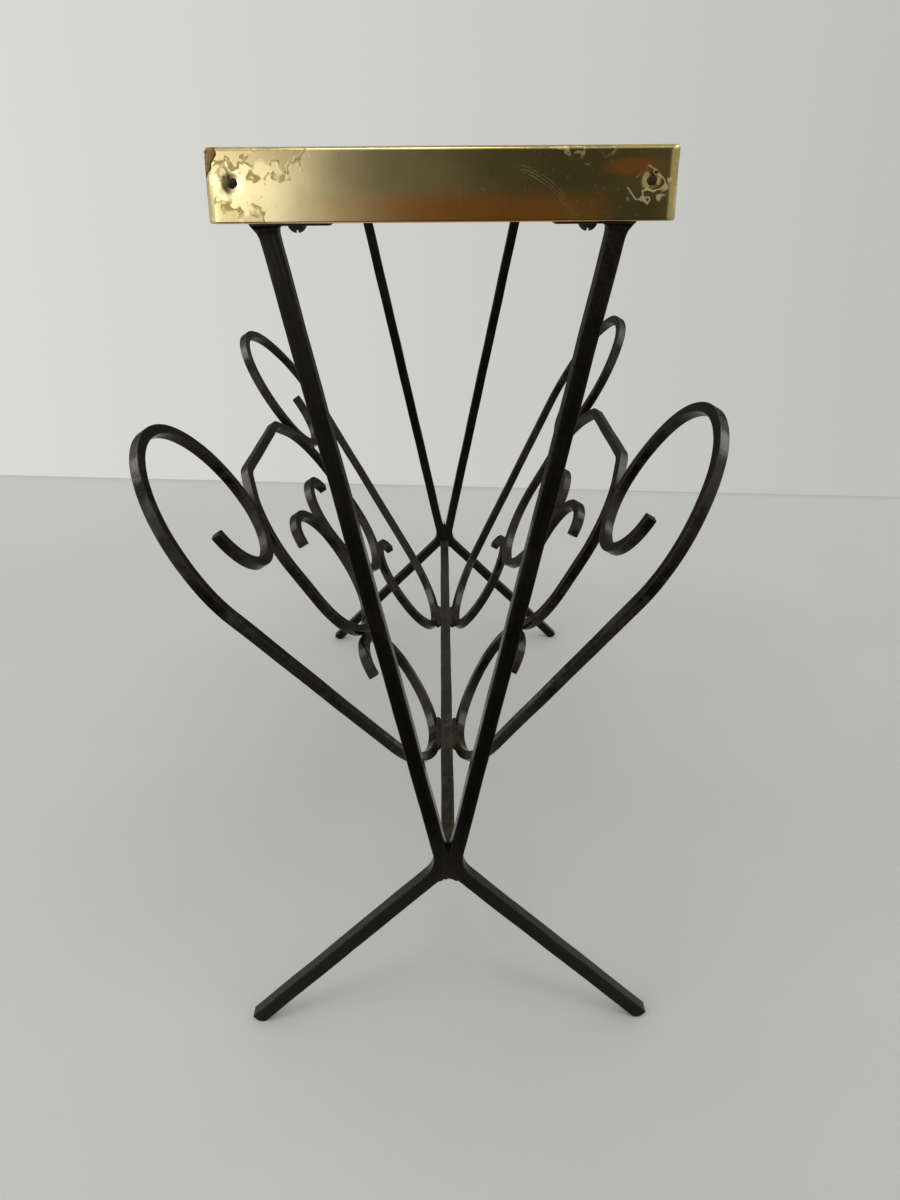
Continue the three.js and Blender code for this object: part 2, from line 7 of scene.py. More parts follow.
import math
from functools import partial
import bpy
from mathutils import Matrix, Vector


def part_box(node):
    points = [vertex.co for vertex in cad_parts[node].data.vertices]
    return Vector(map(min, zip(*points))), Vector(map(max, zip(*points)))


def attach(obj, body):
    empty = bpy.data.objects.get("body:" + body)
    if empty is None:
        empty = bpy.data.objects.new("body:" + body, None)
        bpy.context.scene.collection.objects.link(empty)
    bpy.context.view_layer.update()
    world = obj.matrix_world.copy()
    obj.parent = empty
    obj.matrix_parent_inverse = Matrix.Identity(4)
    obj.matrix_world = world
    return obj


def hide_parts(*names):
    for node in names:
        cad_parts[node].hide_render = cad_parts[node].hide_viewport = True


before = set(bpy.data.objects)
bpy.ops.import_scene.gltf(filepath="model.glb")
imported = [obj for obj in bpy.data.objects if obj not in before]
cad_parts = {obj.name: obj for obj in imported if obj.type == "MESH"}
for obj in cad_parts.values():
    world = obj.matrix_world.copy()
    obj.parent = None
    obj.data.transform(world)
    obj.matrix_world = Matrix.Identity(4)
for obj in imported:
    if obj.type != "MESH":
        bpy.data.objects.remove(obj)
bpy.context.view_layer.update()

from types import SimpleNamespace

import bpy
import numpy as np
from bpy.props import FloatProperty, FloatVectorProperty, PointerProperty
from mathutils import Matrix, Vector

bl_info = {
    "name": "Magazine rack",
    "version": (1, 0, 0),
    "blender": (4, 5, 0),
    "location": "View3D > Sidebar > Magazine rack",
    "description": "Builds a magazine rack of black painted steel bar with a brass-edged top",
    "category": "Object",
}

ENDS = {"near": -1, "far": 1}
SIDES = {"left": 1, "right": -1}
FIT = 0.0003  # clearance between two pieces of the CAD model
QUARTER = math.pi / 2


# ---- settings -----------------------------------------------------------------------------------


def linear(code):
    """An sRGB hex colour as the linear values that shader sockets take."""
    srgb = np.array([int(code[i:i + 2], 16) for i in (1, 3, 5)]) / 255
    return tuple(np.where(srgb <= 0.04045, srgb / 12.92, ((srgb + 0.055) / 1.055) ** 2.4).tolist())


def number(name, value, description, **kind):
    """A setting that holds one number."""
    return FloatProperty(name=name, description=description, default=value, **kind)


def millimetres(name, value, description):
    """A length, given in millimetres and kept in metres."""
    return number(name, value / 1000, description, unit="LENGTH", subtype="DISTANCE", precision=4)


def degrees(name, value, description):
    """An angle, given in degrees and kept in radians."""
    return number(name, math.radians(value), description, unit="ROTATION", subtype="ANGLE")


def watts(name, value, description):
    """The power of a lamp."""
    return number(name, value, description, unit="POWER", subtype="POWER")


def colour(name, code, description):
    """A colour, given as an sRGB hex code and kept as linear values."""
    return FloatVectorProperty(name=name, description=description, default=linear(code),
                               size=3, min=0, max=1, subtype="COLOR")


class RackTopSizes(bpy.types.PropertyGroup):
    corner_radius: millimetres("Corner radius", 4, "Rounding of the top's four corners in plan")
    band_thickness: millimetres("Band thickness", 0.8, "Thickness of the brass sheet")
    upper_fold: millimetres("Upper fold", 1.7, "Outside radius where the band folds over the board")
    lower_fold: millimetres("Lower fold", 0.9, "Outside radius where the band folds under the board")
    upper_lip: millimetres("Upper lip", 2.95, "How far the band reaches in over the board")
    lower_lip: millimetres("Lower lip", 2.5, "How far the band reaches in under the board")
    seam: millimetres("Seam", 0.8, "Open butt seam in the middle of the right long side")
    board_edge: millimetres("Board edge", 0.4, "Bevel on the board's edges")
    sheet_wave: millimetres("Sheet wave", 0.22, "How deep the sheet sags between its folds")
    knock: millimetres("Knock", 0.7, "How deep the near left upper corner is knocked in")
    dimple_width: millimetres("Dimple width", 9, "Width of the dent round each tack")
    dimple_depth: millimetres("Dimple depth", 0.6, "Depth of the dent round each tack")
    tack_dome: millimetres("Tack dome", 0.7, "Height of a tack's domed head")
    tack_shank: millimetres("Tack shank", 0.7, "Radius of a tack's shank")
    tack_length: millimetres("Tack length", 9, "From the top of a tack's head to its point")


class RackLegSizes(bpy.types.PropertyGroup):
    bar: millimetres("Leg bar", 8, "Side of the square bar")
    corner: millimetres("Bar edge", 0.6, "Rounding of the bar's edges")
    junction_height: millimetres("Junction height", 121, "Height where the two bars of a frame meet")
    bend_radius: millimetres("Bend radius", 20, "Radius of the bend at the junction")
    top_spacing: millimetres("Top spacing", 145, "Between the bar middles under the straps")
    foot_spread: millimetres("Foot spread", 233, "Between the bar middles on the floor")
    foot_grind: millimetres("Foot grind", 1.6, "Height ground off the sawn corner of a foot")
    half_gap: millimetres("Half gap", 4.15, "From the frame's middle to a bar's middle at the junction")
    arch_height: millimetres("Arch height", 106.7, "Top of the weld's hollow underside between the legs")
    arch_radius: millimetres("Arch radius", 12.8, "Hollow underside of the weld between the legs")
    arch_reach: millimetres("Arch reach", 11.5, "How far the weld runs out along each leg")
    crotch_rise: millimetres("Crotch rise", 11, "How far the weld fills the gap above the junction")
    flare: number("Weld flare", 0.6, "How much the weld widens a leg's upper end", min=0, max=1)
    flare_reach: millimetres("Weld reach", 1.3, "How far down a leg the weld at its upper end fades")
    strap_corner: millimetres("Strap corner", 1.2, "Rounding of a strap's corners in plan")
    strap_edge: millimetres("Strap edge", 0.45, "Rounding of a strap's edges")
    screw_slot: millimetres("Screw slot", 1.2, "Width of the slot in a screw's head")
    slot_depth: millimetres("Slot depth", 1.4, "Depth of the slot in a screw's head")
    screw_shank: millimetres("Screw shank", 1.75, "Radius of a screw's shank")
    screw_length: millimetres("Screw length", 15.8, "From under a screw's head to its point")


class RackScrollSizes(bpy.types.PropertyGroup):
    bar: millimetres("Scroll bar", 6, "Side of the square bar")
    corner: millimetres("Bar edge", 0.5, "Rounding of the bar's edges")
    left_tilt: degrees("Left tilt", 33.5, "Slope of the cradle's left side from upright")
    right_tilt: degrees("Right tilt", 29.5, "Slope of the cradle's right side from upright")
    gap: millimetres("Weld gap", 0.3, "Between two bars that are welded together")
    height: millimetres("Central height", 216, "Spine to the middle of the central scroll's top bar")
    top_run: millimetres("Top run", 52, "Half of the straight top of the central scroll")
    shoulder_radius: millimetres("Shoulder radius", 20, "Bend at the shoulder")
    shoulder_turn: degrees("Shoulder turn", 30, "Bend at the shoulder")
    slope_run: millimetres("Slope run", 15, "Straight below the shoulder")
    side_radius: millimetres("Side radius", 56, "Bend into the side")
    side_run: millimetres("Side run", 24, "Straight part of the side")
    foot_radius: millimetres("Foot radius", 49.925, "Bend at the foot of each half")
    hook_radius: millimetres("Hook radius", 34.5, "Outward hook in the middle")
    hook_turn: degrees("Hook turn", 104, "Outward hook in the middle")
    hook_tip_radius: millimetres("Hook tip radius", 19, "Tighter end of the hook")
    hook_tip_turn: degrees("Hook tip turn", 55, "Tighter end of the hook")
    weld_place: millimetres("Spine weld", 93.2, "From the cradle's middle to an outer scroll's weld")
    lower_radius: millimetres("Lower bend radius", 45, "Rise from the spine to the lower curl")
    lower_turn: degrees("Lower bend turn", 91, "Rise from the spine to the lower curl")
    lower_curl_radius: millimetres("Lower curl radius", 38, "Lower curl")
    lower_curl_turn: degrees("Lower curl turn", 106, "Lower curl")
    lower_tip_radius: millimetres("Lower tip radius", 19, "Tighter end of the lower curl")
    lower_tip_turn: degrees("Lower tip turn", 54, "Tighter end of the lower curl")
    flank_radius: millimetres("Flank radius", 72, "Rise from the spine to the flank")
    flank_turn: degrees("Flank turn", 68, "Rise from the spine to the flank")
    flank_run: millimetres("Flank run", 147.4, "Straight flank")
    lobe_radius: millimetres("Lobe radius", 68, "Bend over the top of the lobe")
    lobe_turn: degrees("Lobe turn", 132, "Bend over the top of the lobe")
    return_radius: millimetres("Return radius", 57, "Bend down from the lobe")
    return_turn: degrees("Return turn", 82, "Bend down from the lobe")
    upper_curl_radius: millimetres("Upper curl radius", 35, "Upper curl")
    upper_curl_turn: degrees("Upper curl turn", 166, "Upper curl")


class RackFinishColours(bpy.types.PropertyGroup):
    enamel: colour("Leg enamel", "#070706", "Black paint on the legs and straps")
    scroll_enamel: colour("Scroll enamel", "#060403", "Brown-black paint on the scrolls")
    rubbed: colour("Rubbed paint", "#4d402d", "Where paint is worn thin over brown steel")
    # Painted sheen: a grey that stands in for highlights on the paint.
    painted_sheen: colour("Bloomed paint", "#6a6d6e", "Where old paint has gone grey")
    spine: colour("Spine", "#0a0907", "Mottled paint on the spine")
    spine_rubbed: colour("Rubbed spine", "#4f4838", "Where the spine's paint is worn thin")
    weld: colour("Weld", "#090807", "Painted weld metal")
    brass: colour("Brass", "#f9e7b2", "Clean lacquered brass")
    tarnish: colour("Tarnish", "#b5a066", "Edges of the stains in the lacquer")
    # On the near end the olive and the copper are partly a painted reflection.
    olive: colour("Olive patina", "#bcaa6a", "Dull patina in the middle of the band")
    copper: colour("Copper patina", "#f3a652", "Reddish patina low on the band")
    bare: colour("Bare corner", "#8a6a35", "Worn metal at the knocked corner")
    bare_dark: colour("Bare corner pits", "#5e4520", "Pits in the knocked corner")
    bare_rim: colour("Bare corner rim", "#3a260f", "Dirt round the knocked corner")
    tack: colour("Tack", "#1d1307", "Rusted tack heads")
    screw: colour("Screw", "#1b1613", "Blackened screws")
    rust: colour("Rust", "#3c2410", "Rust in the pores of tacks and screws")
    wood: colour("Wood", "#6a4226", "Stained board")
    wood_dark: colour("Wood grain", "#3d2414", "Darker grain of the board")
    floor: colour("Floor", "#bbbbb6", "Studio floor")


class RackStage(bpy.types.PropertyGroup):
    camera_place: FloatVectorProperty(name="Camera place", description="Where the camera stands",
                                      default=(-0.6805, -0.0073, 0.4763), size=3,
                                      unit="LENGTH", subtype="TRANSLATION")
    camera_pitch: degrees("Camera pitch", 24.9, "How far the camera looks down")
    camera_yaw: degrees("Camera yaw", -0.39, "How far the camera turns to the left")
    camera_roll: degrees("Camera roll", -0.4, "How far the camera tips")
    lens: number("Lens", 29.06, "Focal length in millimetres", subtype="DISTANCE_CAMERA")
    floor_reach: millimetres("Floor reach", 6000, "From the rack's middle to each side of the floor")
    floor_front: millimetres("Floor front", 410, "From the rack's middle to the front edge of the floor")
    wall_distance: millimetres("Wall distance", 771, "Where the floor meets the wall behind the far end")
    wall_turn: degrees("Wall turn", 6.1, "How far the wall's foot turns from square")
    glint: number("Side glint", 6, "How much brighter the panels high at the sides reflect")
    room_light: number("Room light", 0.8, "Strength of the light from all round")
    key_power: watts("Key power", 4, "Power of the left softbox")
    fill_power: watts("Fill power", 6, "Power of the right softbox")
    side_power: watts("Side power", 7.5, "Power of the softbox at the left front")
    window_power: watts("Window power", 1.9, "Power of the low softbox at the left front")
    top_power: watts("Top power", 5, "Power of the softbox overhead")


def settings(context):
    """The sizes of the top, the legs and the scrolls, and the colours."""
    scene = context.scene
    return scene.rack_top, scene.rack_legs, scene.rack_scrolls, scene.rack_finish


def middle_of(node):
    """The middle of a CAD node's box."""
    return sum(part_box(node), Vector()) / 2


# ---- meshes -------------------------------------------------------------------------------------


def ripple(s, seed, *pitches):
    """Smooth unevenness from -1 to 1: the mean of sine waves along s whose lengths are the given pitches,
    each with its own phase, set by the seed."""
    waves = [np.sin(2 * math.pi * s / pitch + seed * (2.4 + i)) for i, pitch in enumerate(pitches)]
    return sum(waves) / len(waves)


def travelled(points):
    """Distance along a row of points, from the first to each."""
    return np.append(0, np.cumsum(np.linalg.norm(np.diff(points, axis=0), axis=1)))


def level_rings(flat, heights):
    """Rings in space from flat ones, flat[i, j], each with its own height."""
    return np.concatenate([flat, np.broadcast_to(heights, flat.shape[:2])[..., None]], -1)


def shell(rings, along=None, across=None, rub=0.0):
    """A closed surface from a grid of points, rings[i, j]: each ring closes on itself, neighbours are
    joined by quads, and the first and last rings are capped. It is turned to face outwards where its
    volume, summed as tetrahedra from its middle, comes out negative. along and across are the grid's two
    lengths, kept as UVs, or 1 mm a step where they aren't given, and rub says where edges rub bare, from
    0 to 1."""
    n, m = rings.shape[:2]
    i, j = np.meshgrid(np.arange(n - 1), np.arange(m), indexing="ij")
    i, j = i.ravel(), j.ravel()
    corners = [(i, j), (i, j + 1), (i + 1, j + 1), (i + 1, j)]
    quads = np.stack([a * m + b % m for a, b in corners], 1)
    along = np.arange(n) * 0.001 if along is None else along
    across = np.arange(m + 1) * 0.001 if across is None else np.append(across, 2 * across[-1] - across[-2])
    uv = np.stack([np.stack([along[a], across[b]], 1) for a, b in corners], 1)
    points = rings.reshape(-1, 3)
    a, b, c, d = (points[quads[:, k]] - points.mean(0) for k in range(4))
    volume = np.einsum("ij,ij->", a, np.cross(b, c) + np.cross(c, d))
    caps = [np.arange(m)[::-1], np.arange(m) + (n - 1) * m]
    if volume < 0:
        quads, uv, caps = quads[:, ::-1], uv[:, ::-1], [cap[::-1] for cap in caps]
    rub = np.broadcast_to(rub, (n, m)).ravel()
    return {"points": points, "quads": quads, "uv": uv, "caps": caps, "rub": rub}


def piece(name, shells, material, replaces=()):
    """One object made of the given shells, riding on the rack's only body."""
    points, faces, uv, rub, start = [], [], [], [], 0
    for part in shells:
        points.append(part["points"])
        faces += (part["quads"] + start).tolist() + [(cap + start).tolist() for cap in part["caps"]]
        uv.append(part["uv"].reshape(-1, 2))
        uv += [np.zeros((len(cap), 2)) + part["uv"][0, 0] for cap in part["caps"]]
        rub.append(part["rub"])
        start += len(part["points"])
    mesh = bpy.data.meshes.new(name)
    mesh.from_pydata(np.concatenate(points).tolist(), [], faces)
    run = mesh.uv_layers.new(name="run")
    run.data.foreach_set("uv", np.concatenate(uv).astype(np.float32).ravel())
    worn = mesh.attributes.new("rub", "FLOAT", "POINT")
    worn.data.foreach_set("value", np.concatenate(rub).astype(np.float32))
    mesh.shade_smooth()
    mesh.materials.append(material)
    made = bpy.data.objects.new(name, mesh)
    bpy.context.scene.collection.objects.link(made)
    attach(made, "root")
    if replaces:
        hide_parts(*replaces)


def square_profile(side, corner):
    """Outline of a square bar with rounded edges, walked counter-clockwise: four quarter circles of the
    corner radius joined by flats. Gives the points, their distance round the outline and how much each
    is rubbed."""
    reach = side / 2 - corner
    angle = np.radians([0, 22.5, 45, 67.5, 90])
    arc = corner * np.stack([np.cos(angle), np.sin(angle)], 1) + reach
    flat = np.stack([reach * (1 - 2 * np.array([0.08, 0.35, 0.65, 0.92])), np.full(4, side / 2)], 1)
    quarter = np.vstack([arc, flat])
    outline = np.vstack([quarter, quarter[:, ::-1] * (-1, 1), -quarter, quarter[:, ::-1] * (1, -1)])
    rub = np.tile([0.5, 0.9, 1, 0.9, 0.5, 0.15, 0, 0, 0.15], 4)
    return outline, travelled(outline), rub


def bend_path(start, heading, steps, pitch=0.0022):
    """Middle line of a bar bent in a plane, from steps of (length or radius, turn). A straight has no
    turn. A bend keeps its radius: its points are its centre plus that radius at an angle that grows
    evenly, clockwise where the turn is positive. Gives points and headings."""
    point, angle = np.array(start, float), heading
    points, angles = [point[None]], [np.array([angle])]
    for size, turn in steps:
        count = max(2, math.ceil((size if turn == 0 else size * abs(turn)) / pitch))
        t = np.linspace(0, 1, count + 1)[1:]
        heads = angle - turn * t
        if turn == 0:
            line = point + size * t[:, None] * (math.cos(angle), math.sin(angle))
        else:
            radius = math.copysign(size, turn)
            centre = point + radius * np.array([math.sin(angle), -math.cos(angle)])
            line = centre + radius * np.stack([-np.sin(heads), np.cos(heads)], 1)
        points.append(line)
        angles.append(heads)
        point, angle = line[-1], heads[-1]
    return np.concatenate(points), np.concatenate(angles)


def both_ways(back, out):
    """One path from two that leave the same point in opposite directions: the first reversed, then the
    second."""
    return np.concatenate([back[0][:0:-1], out[0]]), np.concatenate([back[1][:0:-1] + math.pi, out[1]])


def mirrored(path):
    """A path turned over about the cradle's middle."""
    return path[0] * (-1, 1), math.pi - path[1]


def in_panel(points, angles, origin, across, up):
    """A flat path stood in space: origin + x * across + y * up. Gives its points, tangents and the
    directions of its width."""
    across, up = np.array(across), np.array(up)
    place = np.array(origin) + points[:, :1] * across + points[:, 1:] * up
    tangent = np.cos(angles)[:, None] * across + np.sin(angles)[:, None] * up
    width = -np.sin(angles)[:, None] * across + np.cos(angles)[:, None] * up
    return place, tangent, width


def swept_bar(place, tangent, width, side, corner, seed, scale=1.0):
    """A square bar carried along a path. Each ring is the bar's outline on the width direction and the
    panel's own normal, made uneven by a slow ripple of its size and its place. Both ends are sawn: three
    smaller rings past the last full one round the cut."""
    uneven, sway, cut, sawn_rub = 0.012, 0.00012, 0.0007, 0.8
    outline, around, rub = square_profile(side, corner)
    length = travelled(place)
    normal = np.cross(tangent[0], width[0])
    size = scale * (1 + uneven * np.stack([ripple(length, seed, 0.083, 0.031, 0.017),
                                           ripple(length, seed + 5, 0.067, 0.027, 0.019)], 1))
    middle = place + sway * (ripple(length, seed + 2, 0.11, 0.047)[:, None] * width
                             + ripple(length, seed + 3, 0.13, 0.059)[:, None] * normal)
    rings = middle[:, None] + (size[:, :1] * outline[:, 0])[..., None] * width[:, None]
    rings = rings + (size[:, 1:] * outline[:, 1])[..., None] * normal
    caps = []
    for end, way in ((0, -1), (-1, 1)):
        centre = rings[end].mean(0)
        for step, shrink in ((0.55, 0.97), (0.9, 0.9), (1, 0.78)):
            caps.append(centre + (rings[end] - centre) * shrink + way * step * cut * tangent[end])
    rings = np.concatenate([caps[2::-1], rings, caps[3:]])
    worn = rub * (1 + 0.3 * ripple(length, seed, 0.09, 0.041)[:, None])
    sawn = np.full((3, len(rub)), sawn_rub)
    steps = cut * np.arange(1, 4)
    length = np.concatenate([-steps[::-1], length, length[-1] + steps])
    return rings, length, around, np.concatenate([sawn, worn, sawn])


def bead(centre, axes, radii, seed):
    """A lump of weld metal: an ellipsoid whose radius swells and shrinks with a ripple round it and along
    it. The rings run from pole to pole."""
    pole, rub = 0.12, 0.22
    polar = np.linspace(pole, math.pi - pole, 15)[:, None]
    turn = np.arange(24) * math.pi / 12
    lumps = 1 + 0.09 * np.sin(3 * turn + seed) * np.sin(2 * polar + seed)
    lumps = lumps + 0.06 * np.sin(5 * turn - 4 * polar + seed)
    ball = [np.sin(polar) * np.cos(turn), np.sin(polar) * np.sin(turn), np.cos(polar)]
    ball = lumps[..., None] * np.stack(np.broadcast_arrays(*ball), -1)
    return shell(np.array(centre) + (ball * radii) @ np.array(axes), rub=rub)


def spun(radius, height, centre, axis, seed=None, facets=32):
    """A profile of radii and heights turned round an axis through a centre, with a slight ripple of its
    radius where a seed is given."""
    axis = np.array(axis, float)
    side = np.array([0, 1, 0] if abs(axis[1]) < 0.9 else [1, 0, 0], float)
    other = np.cross(axis, side)
    turn = np.arange(facets) * 2 * math.pi / facets
    wobble = 1 if seed is None else 1 + 0.05 * np.sin(2 * turn + seed) + 0.035 * np.sin(5 * turn + 3 * seed)
    ring = (np.cos(turn) * wobble)[:, None] * side + (np.sin(turn) * wobble)[:, None] * other
    radius, height = np.array(radius)[:, None, None], np.array(height)[:, None, None]
    return shell(np.array(centre) + radius * ring + height * axis, across=turn * 0.002)


def top_plan(length, width, radius, seam, tacks=()):
    """Stations round the top's plan, from one side of the seam round to the other: each is a point on the
    outline drawn in by the corner radius, and the direction outwards from it. They stand about 5.5 mm
    apart on the long sides, 2 mm on the short ends and 0.4 mm across the tacks."""
    x, y = length / 2 - radius, width / 2 - radius
    coarse = np.arange(-y, y + 1e-6, 0.002)
    fine = [tack + np.arange(-0.006, 0.0061, 0.0004) for tack in tacks]
    end = np.unique(np.round(np.concatenate([coarse, [y], *fine]), 5))
    run = np.linspace(-x, x, 95)
    after = np.append(seam / 2, run[run > seam / 2])
    before = np.append(run[run < -seam / 2], -seam / 2)
    turn = np.linspace(0, QUARTER, 9)[1:-1]

    def bend(px, py, first):
        """A quarter circle's directions, all from its own middle."""
        return px, py, np.cos(first + turn), np.sin(first + turn)

    rows = [(after, -y, 0, -1), bend(x, -y, -QUARTER), (x, end, 1, 0), bend(x, y, 0), (run[::-1], y, 0, 1),
            bend(-x, y, QUARTER), (-x, end[::-1], -1, 0), bend(-x, -y, math.pi), (before, -y, 0, -1)]
    return np.concatenate([np.stack(np.broadcast_arrays(*row), 1) for row in rows])


def arc_points(centre, radius, first, last, count):
    """Points (inset, height) on a circle between two angles."""
    angle = np.radians(np.linspace(first, last, count))
    return np.stack([centre[0] + radius * np.cos(angle), centre[1] + radius * np.sin(angle)], 1)


def plate(lo, hi, corner, edge):
    """A flat plate between two corners: its rounded-rectangle plan is carried up its thickness, drawn in
    on a quarter circle at both faces."""
    x, y = (hi[0] - lo[0]) / 2 - corner, (hi[1] - lo[1]) / 2 - corner
    turn = np.radians(np.arange(0, 91, 15))
    ring = np.concatenate([
        np.stack([sx * x + corner * np.cos(turn + a), sy * y + corner * np.sin(turn + a),
                  np.cos(turn + a), np.sin(turn + a)], 1)
        for sx, sy, a in ((1, 1, 0), (-1, 1, QUARTER), (-1, -1, math.pi), (1, -1, -QUARTER))])
    roll = np.radians(np.arange(0, 91, 22.5))
    inset = np.concatenate([edge * (1 - np.sin(roll)), edge * (1 - np.cos(roll))])
    height = np.concatenate([lo[2] + edge * (1 - np.cos(roll)), hi[2] - edge * (1 - np.sin(roll))])
    middle = np.array([(lo[0] + hi[0]) / 2, (lo[1] + hi[1]) / 2])
    return level_rings(middle + ring[:, :2] - inset[:, None, None] * ring[:, 2:], height[:, None])


# ---- materials ----------------------------------------------------------------------------------


def per(millimetres):
    """How often a pattern repeats in a metre, from the size of one repeat."""
    return 1000 / millimetres


def blend(share, one, other):
    """A colour made of a share of one and the rest of another."""
    return share * one + (1 - share) * other


def fill(socket, value):
    """Gives a socket a value or another node's output, or leaves it as it is where the value is None."""
    if isinstance(value, bpy.types.NodeSocket):
        socket.id_data.links.new(value, socket)
    elif value is not None:
        socket.default_value = (*value[:3], 1) if socket.type == "RGBA" else value


def add(tree, kind, *values, stops=(), **settings):
    """Adds one shader node and gives its first live output. The values fill its live sockets in order.
    Settings in small letters are its properties, and those with a capital are sockets. A ramp also has
    stops of (position, grey or colour)."""
    node = tree.nodes.new("ShaderNode" + kind)
    for key, value in settings.items():
        if key.islower():
            setattr(node, key, value)
    for socket, value in zip([socket for socket in node.inputs if socket.enabled], values):
        fill(socket, value)
    for key, value in settings.items():
        if not key.islower():
            fill(node.inputs[key], value)
    if stops:
        elements = node.color_ramp.elements
        while len(elements) < len(stops):
            elements.new(0.5)
        for element, (position, value) in zip(elements, stops):
            element.position = position
            element.color = (*(np.zeros(3) + value), 1)
    return next((output for output in node.outputs if output.enabled), None)


def new_material(name):
    """An empty material. Gives it, the function that adds a node to it, the sockets of its Principled
    shader and the place on the object, in metres."""
    made = bpy.data.materials.new(name)
    made.use_nodes = True
    node = partial(add, made.node_tree)
    shader = made.node_tree.nodes["Principled BSDF"].inputs
    return made, node, shader, node("TexCoord").node.outputs["Object"]


def painted_steel(name, look, paint, rubbed, wear, gloss, mottle, shine):
    """Solvent enamel brushed on drawn steel bar: a thin dark film that pools and dulls unevenly, keeps
    the bar's long drawing marks, shows grey patches of painted sheen, and rubs through to brown steel on
    edges and hand-worn places. wear is how far the edges rub through, gloss the film's roughness, mottle
    how uneven it is and how much painted sheen it shows, and shine its specular level. Real drawing marks
    and the paint's peel are finer than the 1.4 mm and 0.9 mm drawn here, which show."""
    made, node, shader, place = new_material(name)
    paint, rubbed = np.array(paint), np.array(rubbed)
    drawn = node("Mapping", node("UVMap", uv_map="run"), Scale=(per(33.33), per(1.4286), 1))
    marks = node("TexNoise", drawn, Scale=1, Detail=4, Roughness=0.6)
    cloud = node("TexNoise", place, Scale=per(29.41), Detail=6, Roughness=0.62)
    dents = node("TexNoise", place, Scale=per(6.667), Detail=2, Roughness=0.5)
    fleck = node("TexNoise", place, Scale=per(2.381), Detail=4, Roughness=0.7)
    peel = node("TexNoise", place, Scale=per(0.9091), Detail=3, Roughness=0.55)
    edge = node("Attribute", attribute_name="rub").node.outputs["Fac"]
    thin = node("Math", node("ValToRGB", cloud, stops=[(0.42, 0), (0.72, 1)]), mottle, operation="MULTIPLY")
    thin = node("Math", thin, node("Math", edge, wear, operation="MULTIPLY"), operation="ADD")
    broken = node("ValToRGB", fleck, stops=[(0.36, 0.15), (0.62, 1)])
    worn = node("Math", thin, broken, operation="MULTIPLY", use_clamp=True)
    streak = node("ValToRGB", marks, stops=[(0.45, 0), (0.7, 1)])
    streak = node("Math", streak, 0.1 + 0.6 * mottle, operation="MULTIPLY")
    # Painted sheen: grey patches, set by the mottle, stand in for the paint's highlights.
    painted_sheen = node("Math", fleck, mottle, operation="MULTIPLY")
    painted_sheen = node("Math", node("ValToRGB", cloud, stops=[(0.3, 1), (0.44, 0)]), painted_sheen, operation="MULTIPLY")
    body = paint
    for share, over in ((streak, blend(0.75, paint, rubbed)), (painted_sheen, look.painted_sheen), (worn, rubbed)):
        body = node("Mix", share, body, over, data_type="RGBA")
    dull = node("ValToRGB", cloud, stops=[(0.36, gloss - 0.1), (0.5, gloss), (0.64, gloss + 0.14)])
    dull = node("Math", worn, 0.3, dull, operation="MULTIPLY_ADD")
    dull = node("Math", fleck, 0.06, dull, operation="MULTIPLY_ADD", use_clamp=True)
    relief = None
    for height, depth, strength in ((dents, 0.0018 * mottle, 0.6), (marks, 0.00007, 0.7),
                                    (fleck, 0.00006, 0.5), (peel, 0.00003, 0.4)):
        relief = node("Bump", Height=height, Distance=depth, Strength=strength, Normal=relief)
    fill(shader["Base Color"], body)
    fill(shader["Roughness"], dull)
    fill(shader["IOR"], 1.5)
    fill(shader["Specular IOR Level"], shine)
    fill(shader["Specular Tint"], (1, 0.96, 0.82))
    fill(shader["Normal"], relief)
    return made


def sheet_places(node, place, lo, hi):
    """What the brass sheet's patterns share: how far across the near end and up it a point lies, from 0 to
    1 and bent a little, how far in from the edges it is, which end it is on, and noises. The crinkles of
    the lacquer are lace, from -0.5 to 0.5."""
    warp = node("TexNoise", place, Scale=per(16.67), Detail=3).node.outputs["Color"]
    bent = node("SeparateXYZ", node("Mix", 0.006, place, warp, data_type="VECTOR")).node.outputs
    x, y, z = node("SeparateXYZ", place).node.outputs
    on_near = node("Math", x, lo.x + 0.0035, operation="LESS_THAN")
    broken = node("TexNoise", place, Scale=per(8.333), Detail=2)
    lace = node("TexNoise", place, Scale=per(4.348), Detail=1, Roughness=0.5, Distortion=0.3)
    return SimpleNamespace(
        place=place, lo=lo, hi=hi, y=y, z=z, on_near=on_near,
        off_near=node("Math", 1, on_near, operation="SUBTRACT"),
        across=node("MapRange", bent["Y"], hi.y, lo.y),
        rise=node("MapRange", bent["Z"], lo.z, hi.z),
        from_left=node("Math", hi.y, y, operation="SUBTRACT"),
        from_top=node("Math", hi.z, z, operation="SUBTRACT"),
        from_foot=node("Math", z, lo.z, operation="SUBTRACT"),
        glow=node("TexNoise", place, Scale=per(111.1), Detail=5, Roughness=0.5),
        patchy=node("TexNoise", place, Scale=per(18.18), Detail=2),
        broken=node("ValToRGB", broken, stops=[(0.4, 0.15), (0.52, 1)]),
        lace=node("Math", lace, 0.5, operation="SUBTRACT"),
        speck=node("TexNoise", place, Scale=per(1.4286), Detail=2))


def oval(node, s, inset, drop, wide, tall):
    """Distance on the near end from a point that far in from its right side and down from its top,
    stretched across and upwards."""
    away = node("VectorMath", s.place, (s.lo.x, s.lo.y + inset, s.hi.z - drop), operation="SUBTRACT")
    away = node("VectorMath", away, (0, wide, tall), operation="MULTIPLY")
    return node("VectorMath", away, operation="LENGTH")


def creep(node, s, reach, wander):
    """Where a stain stops, and the crinkled line left along its edge: the stain has crept in by one
    reach, more or less as the lace pattern wanders."""
    front = node("Math", s.lace, wander, reach, operation="MULTIPLY_ADD")
    front = node("Math", front, 0.25, operation="MULTIPLY")
    inside = node("ValToRGB", front, stops=[(0.15, 1), (0.26, 0)])
    line = node("ValToRGB", front, stops=[(0.17, 0), (0.215, 1), (0.27, 1), (0.325, 0)])
    return inside, node("Math", line, s.broken, operation="MULTIPLY")


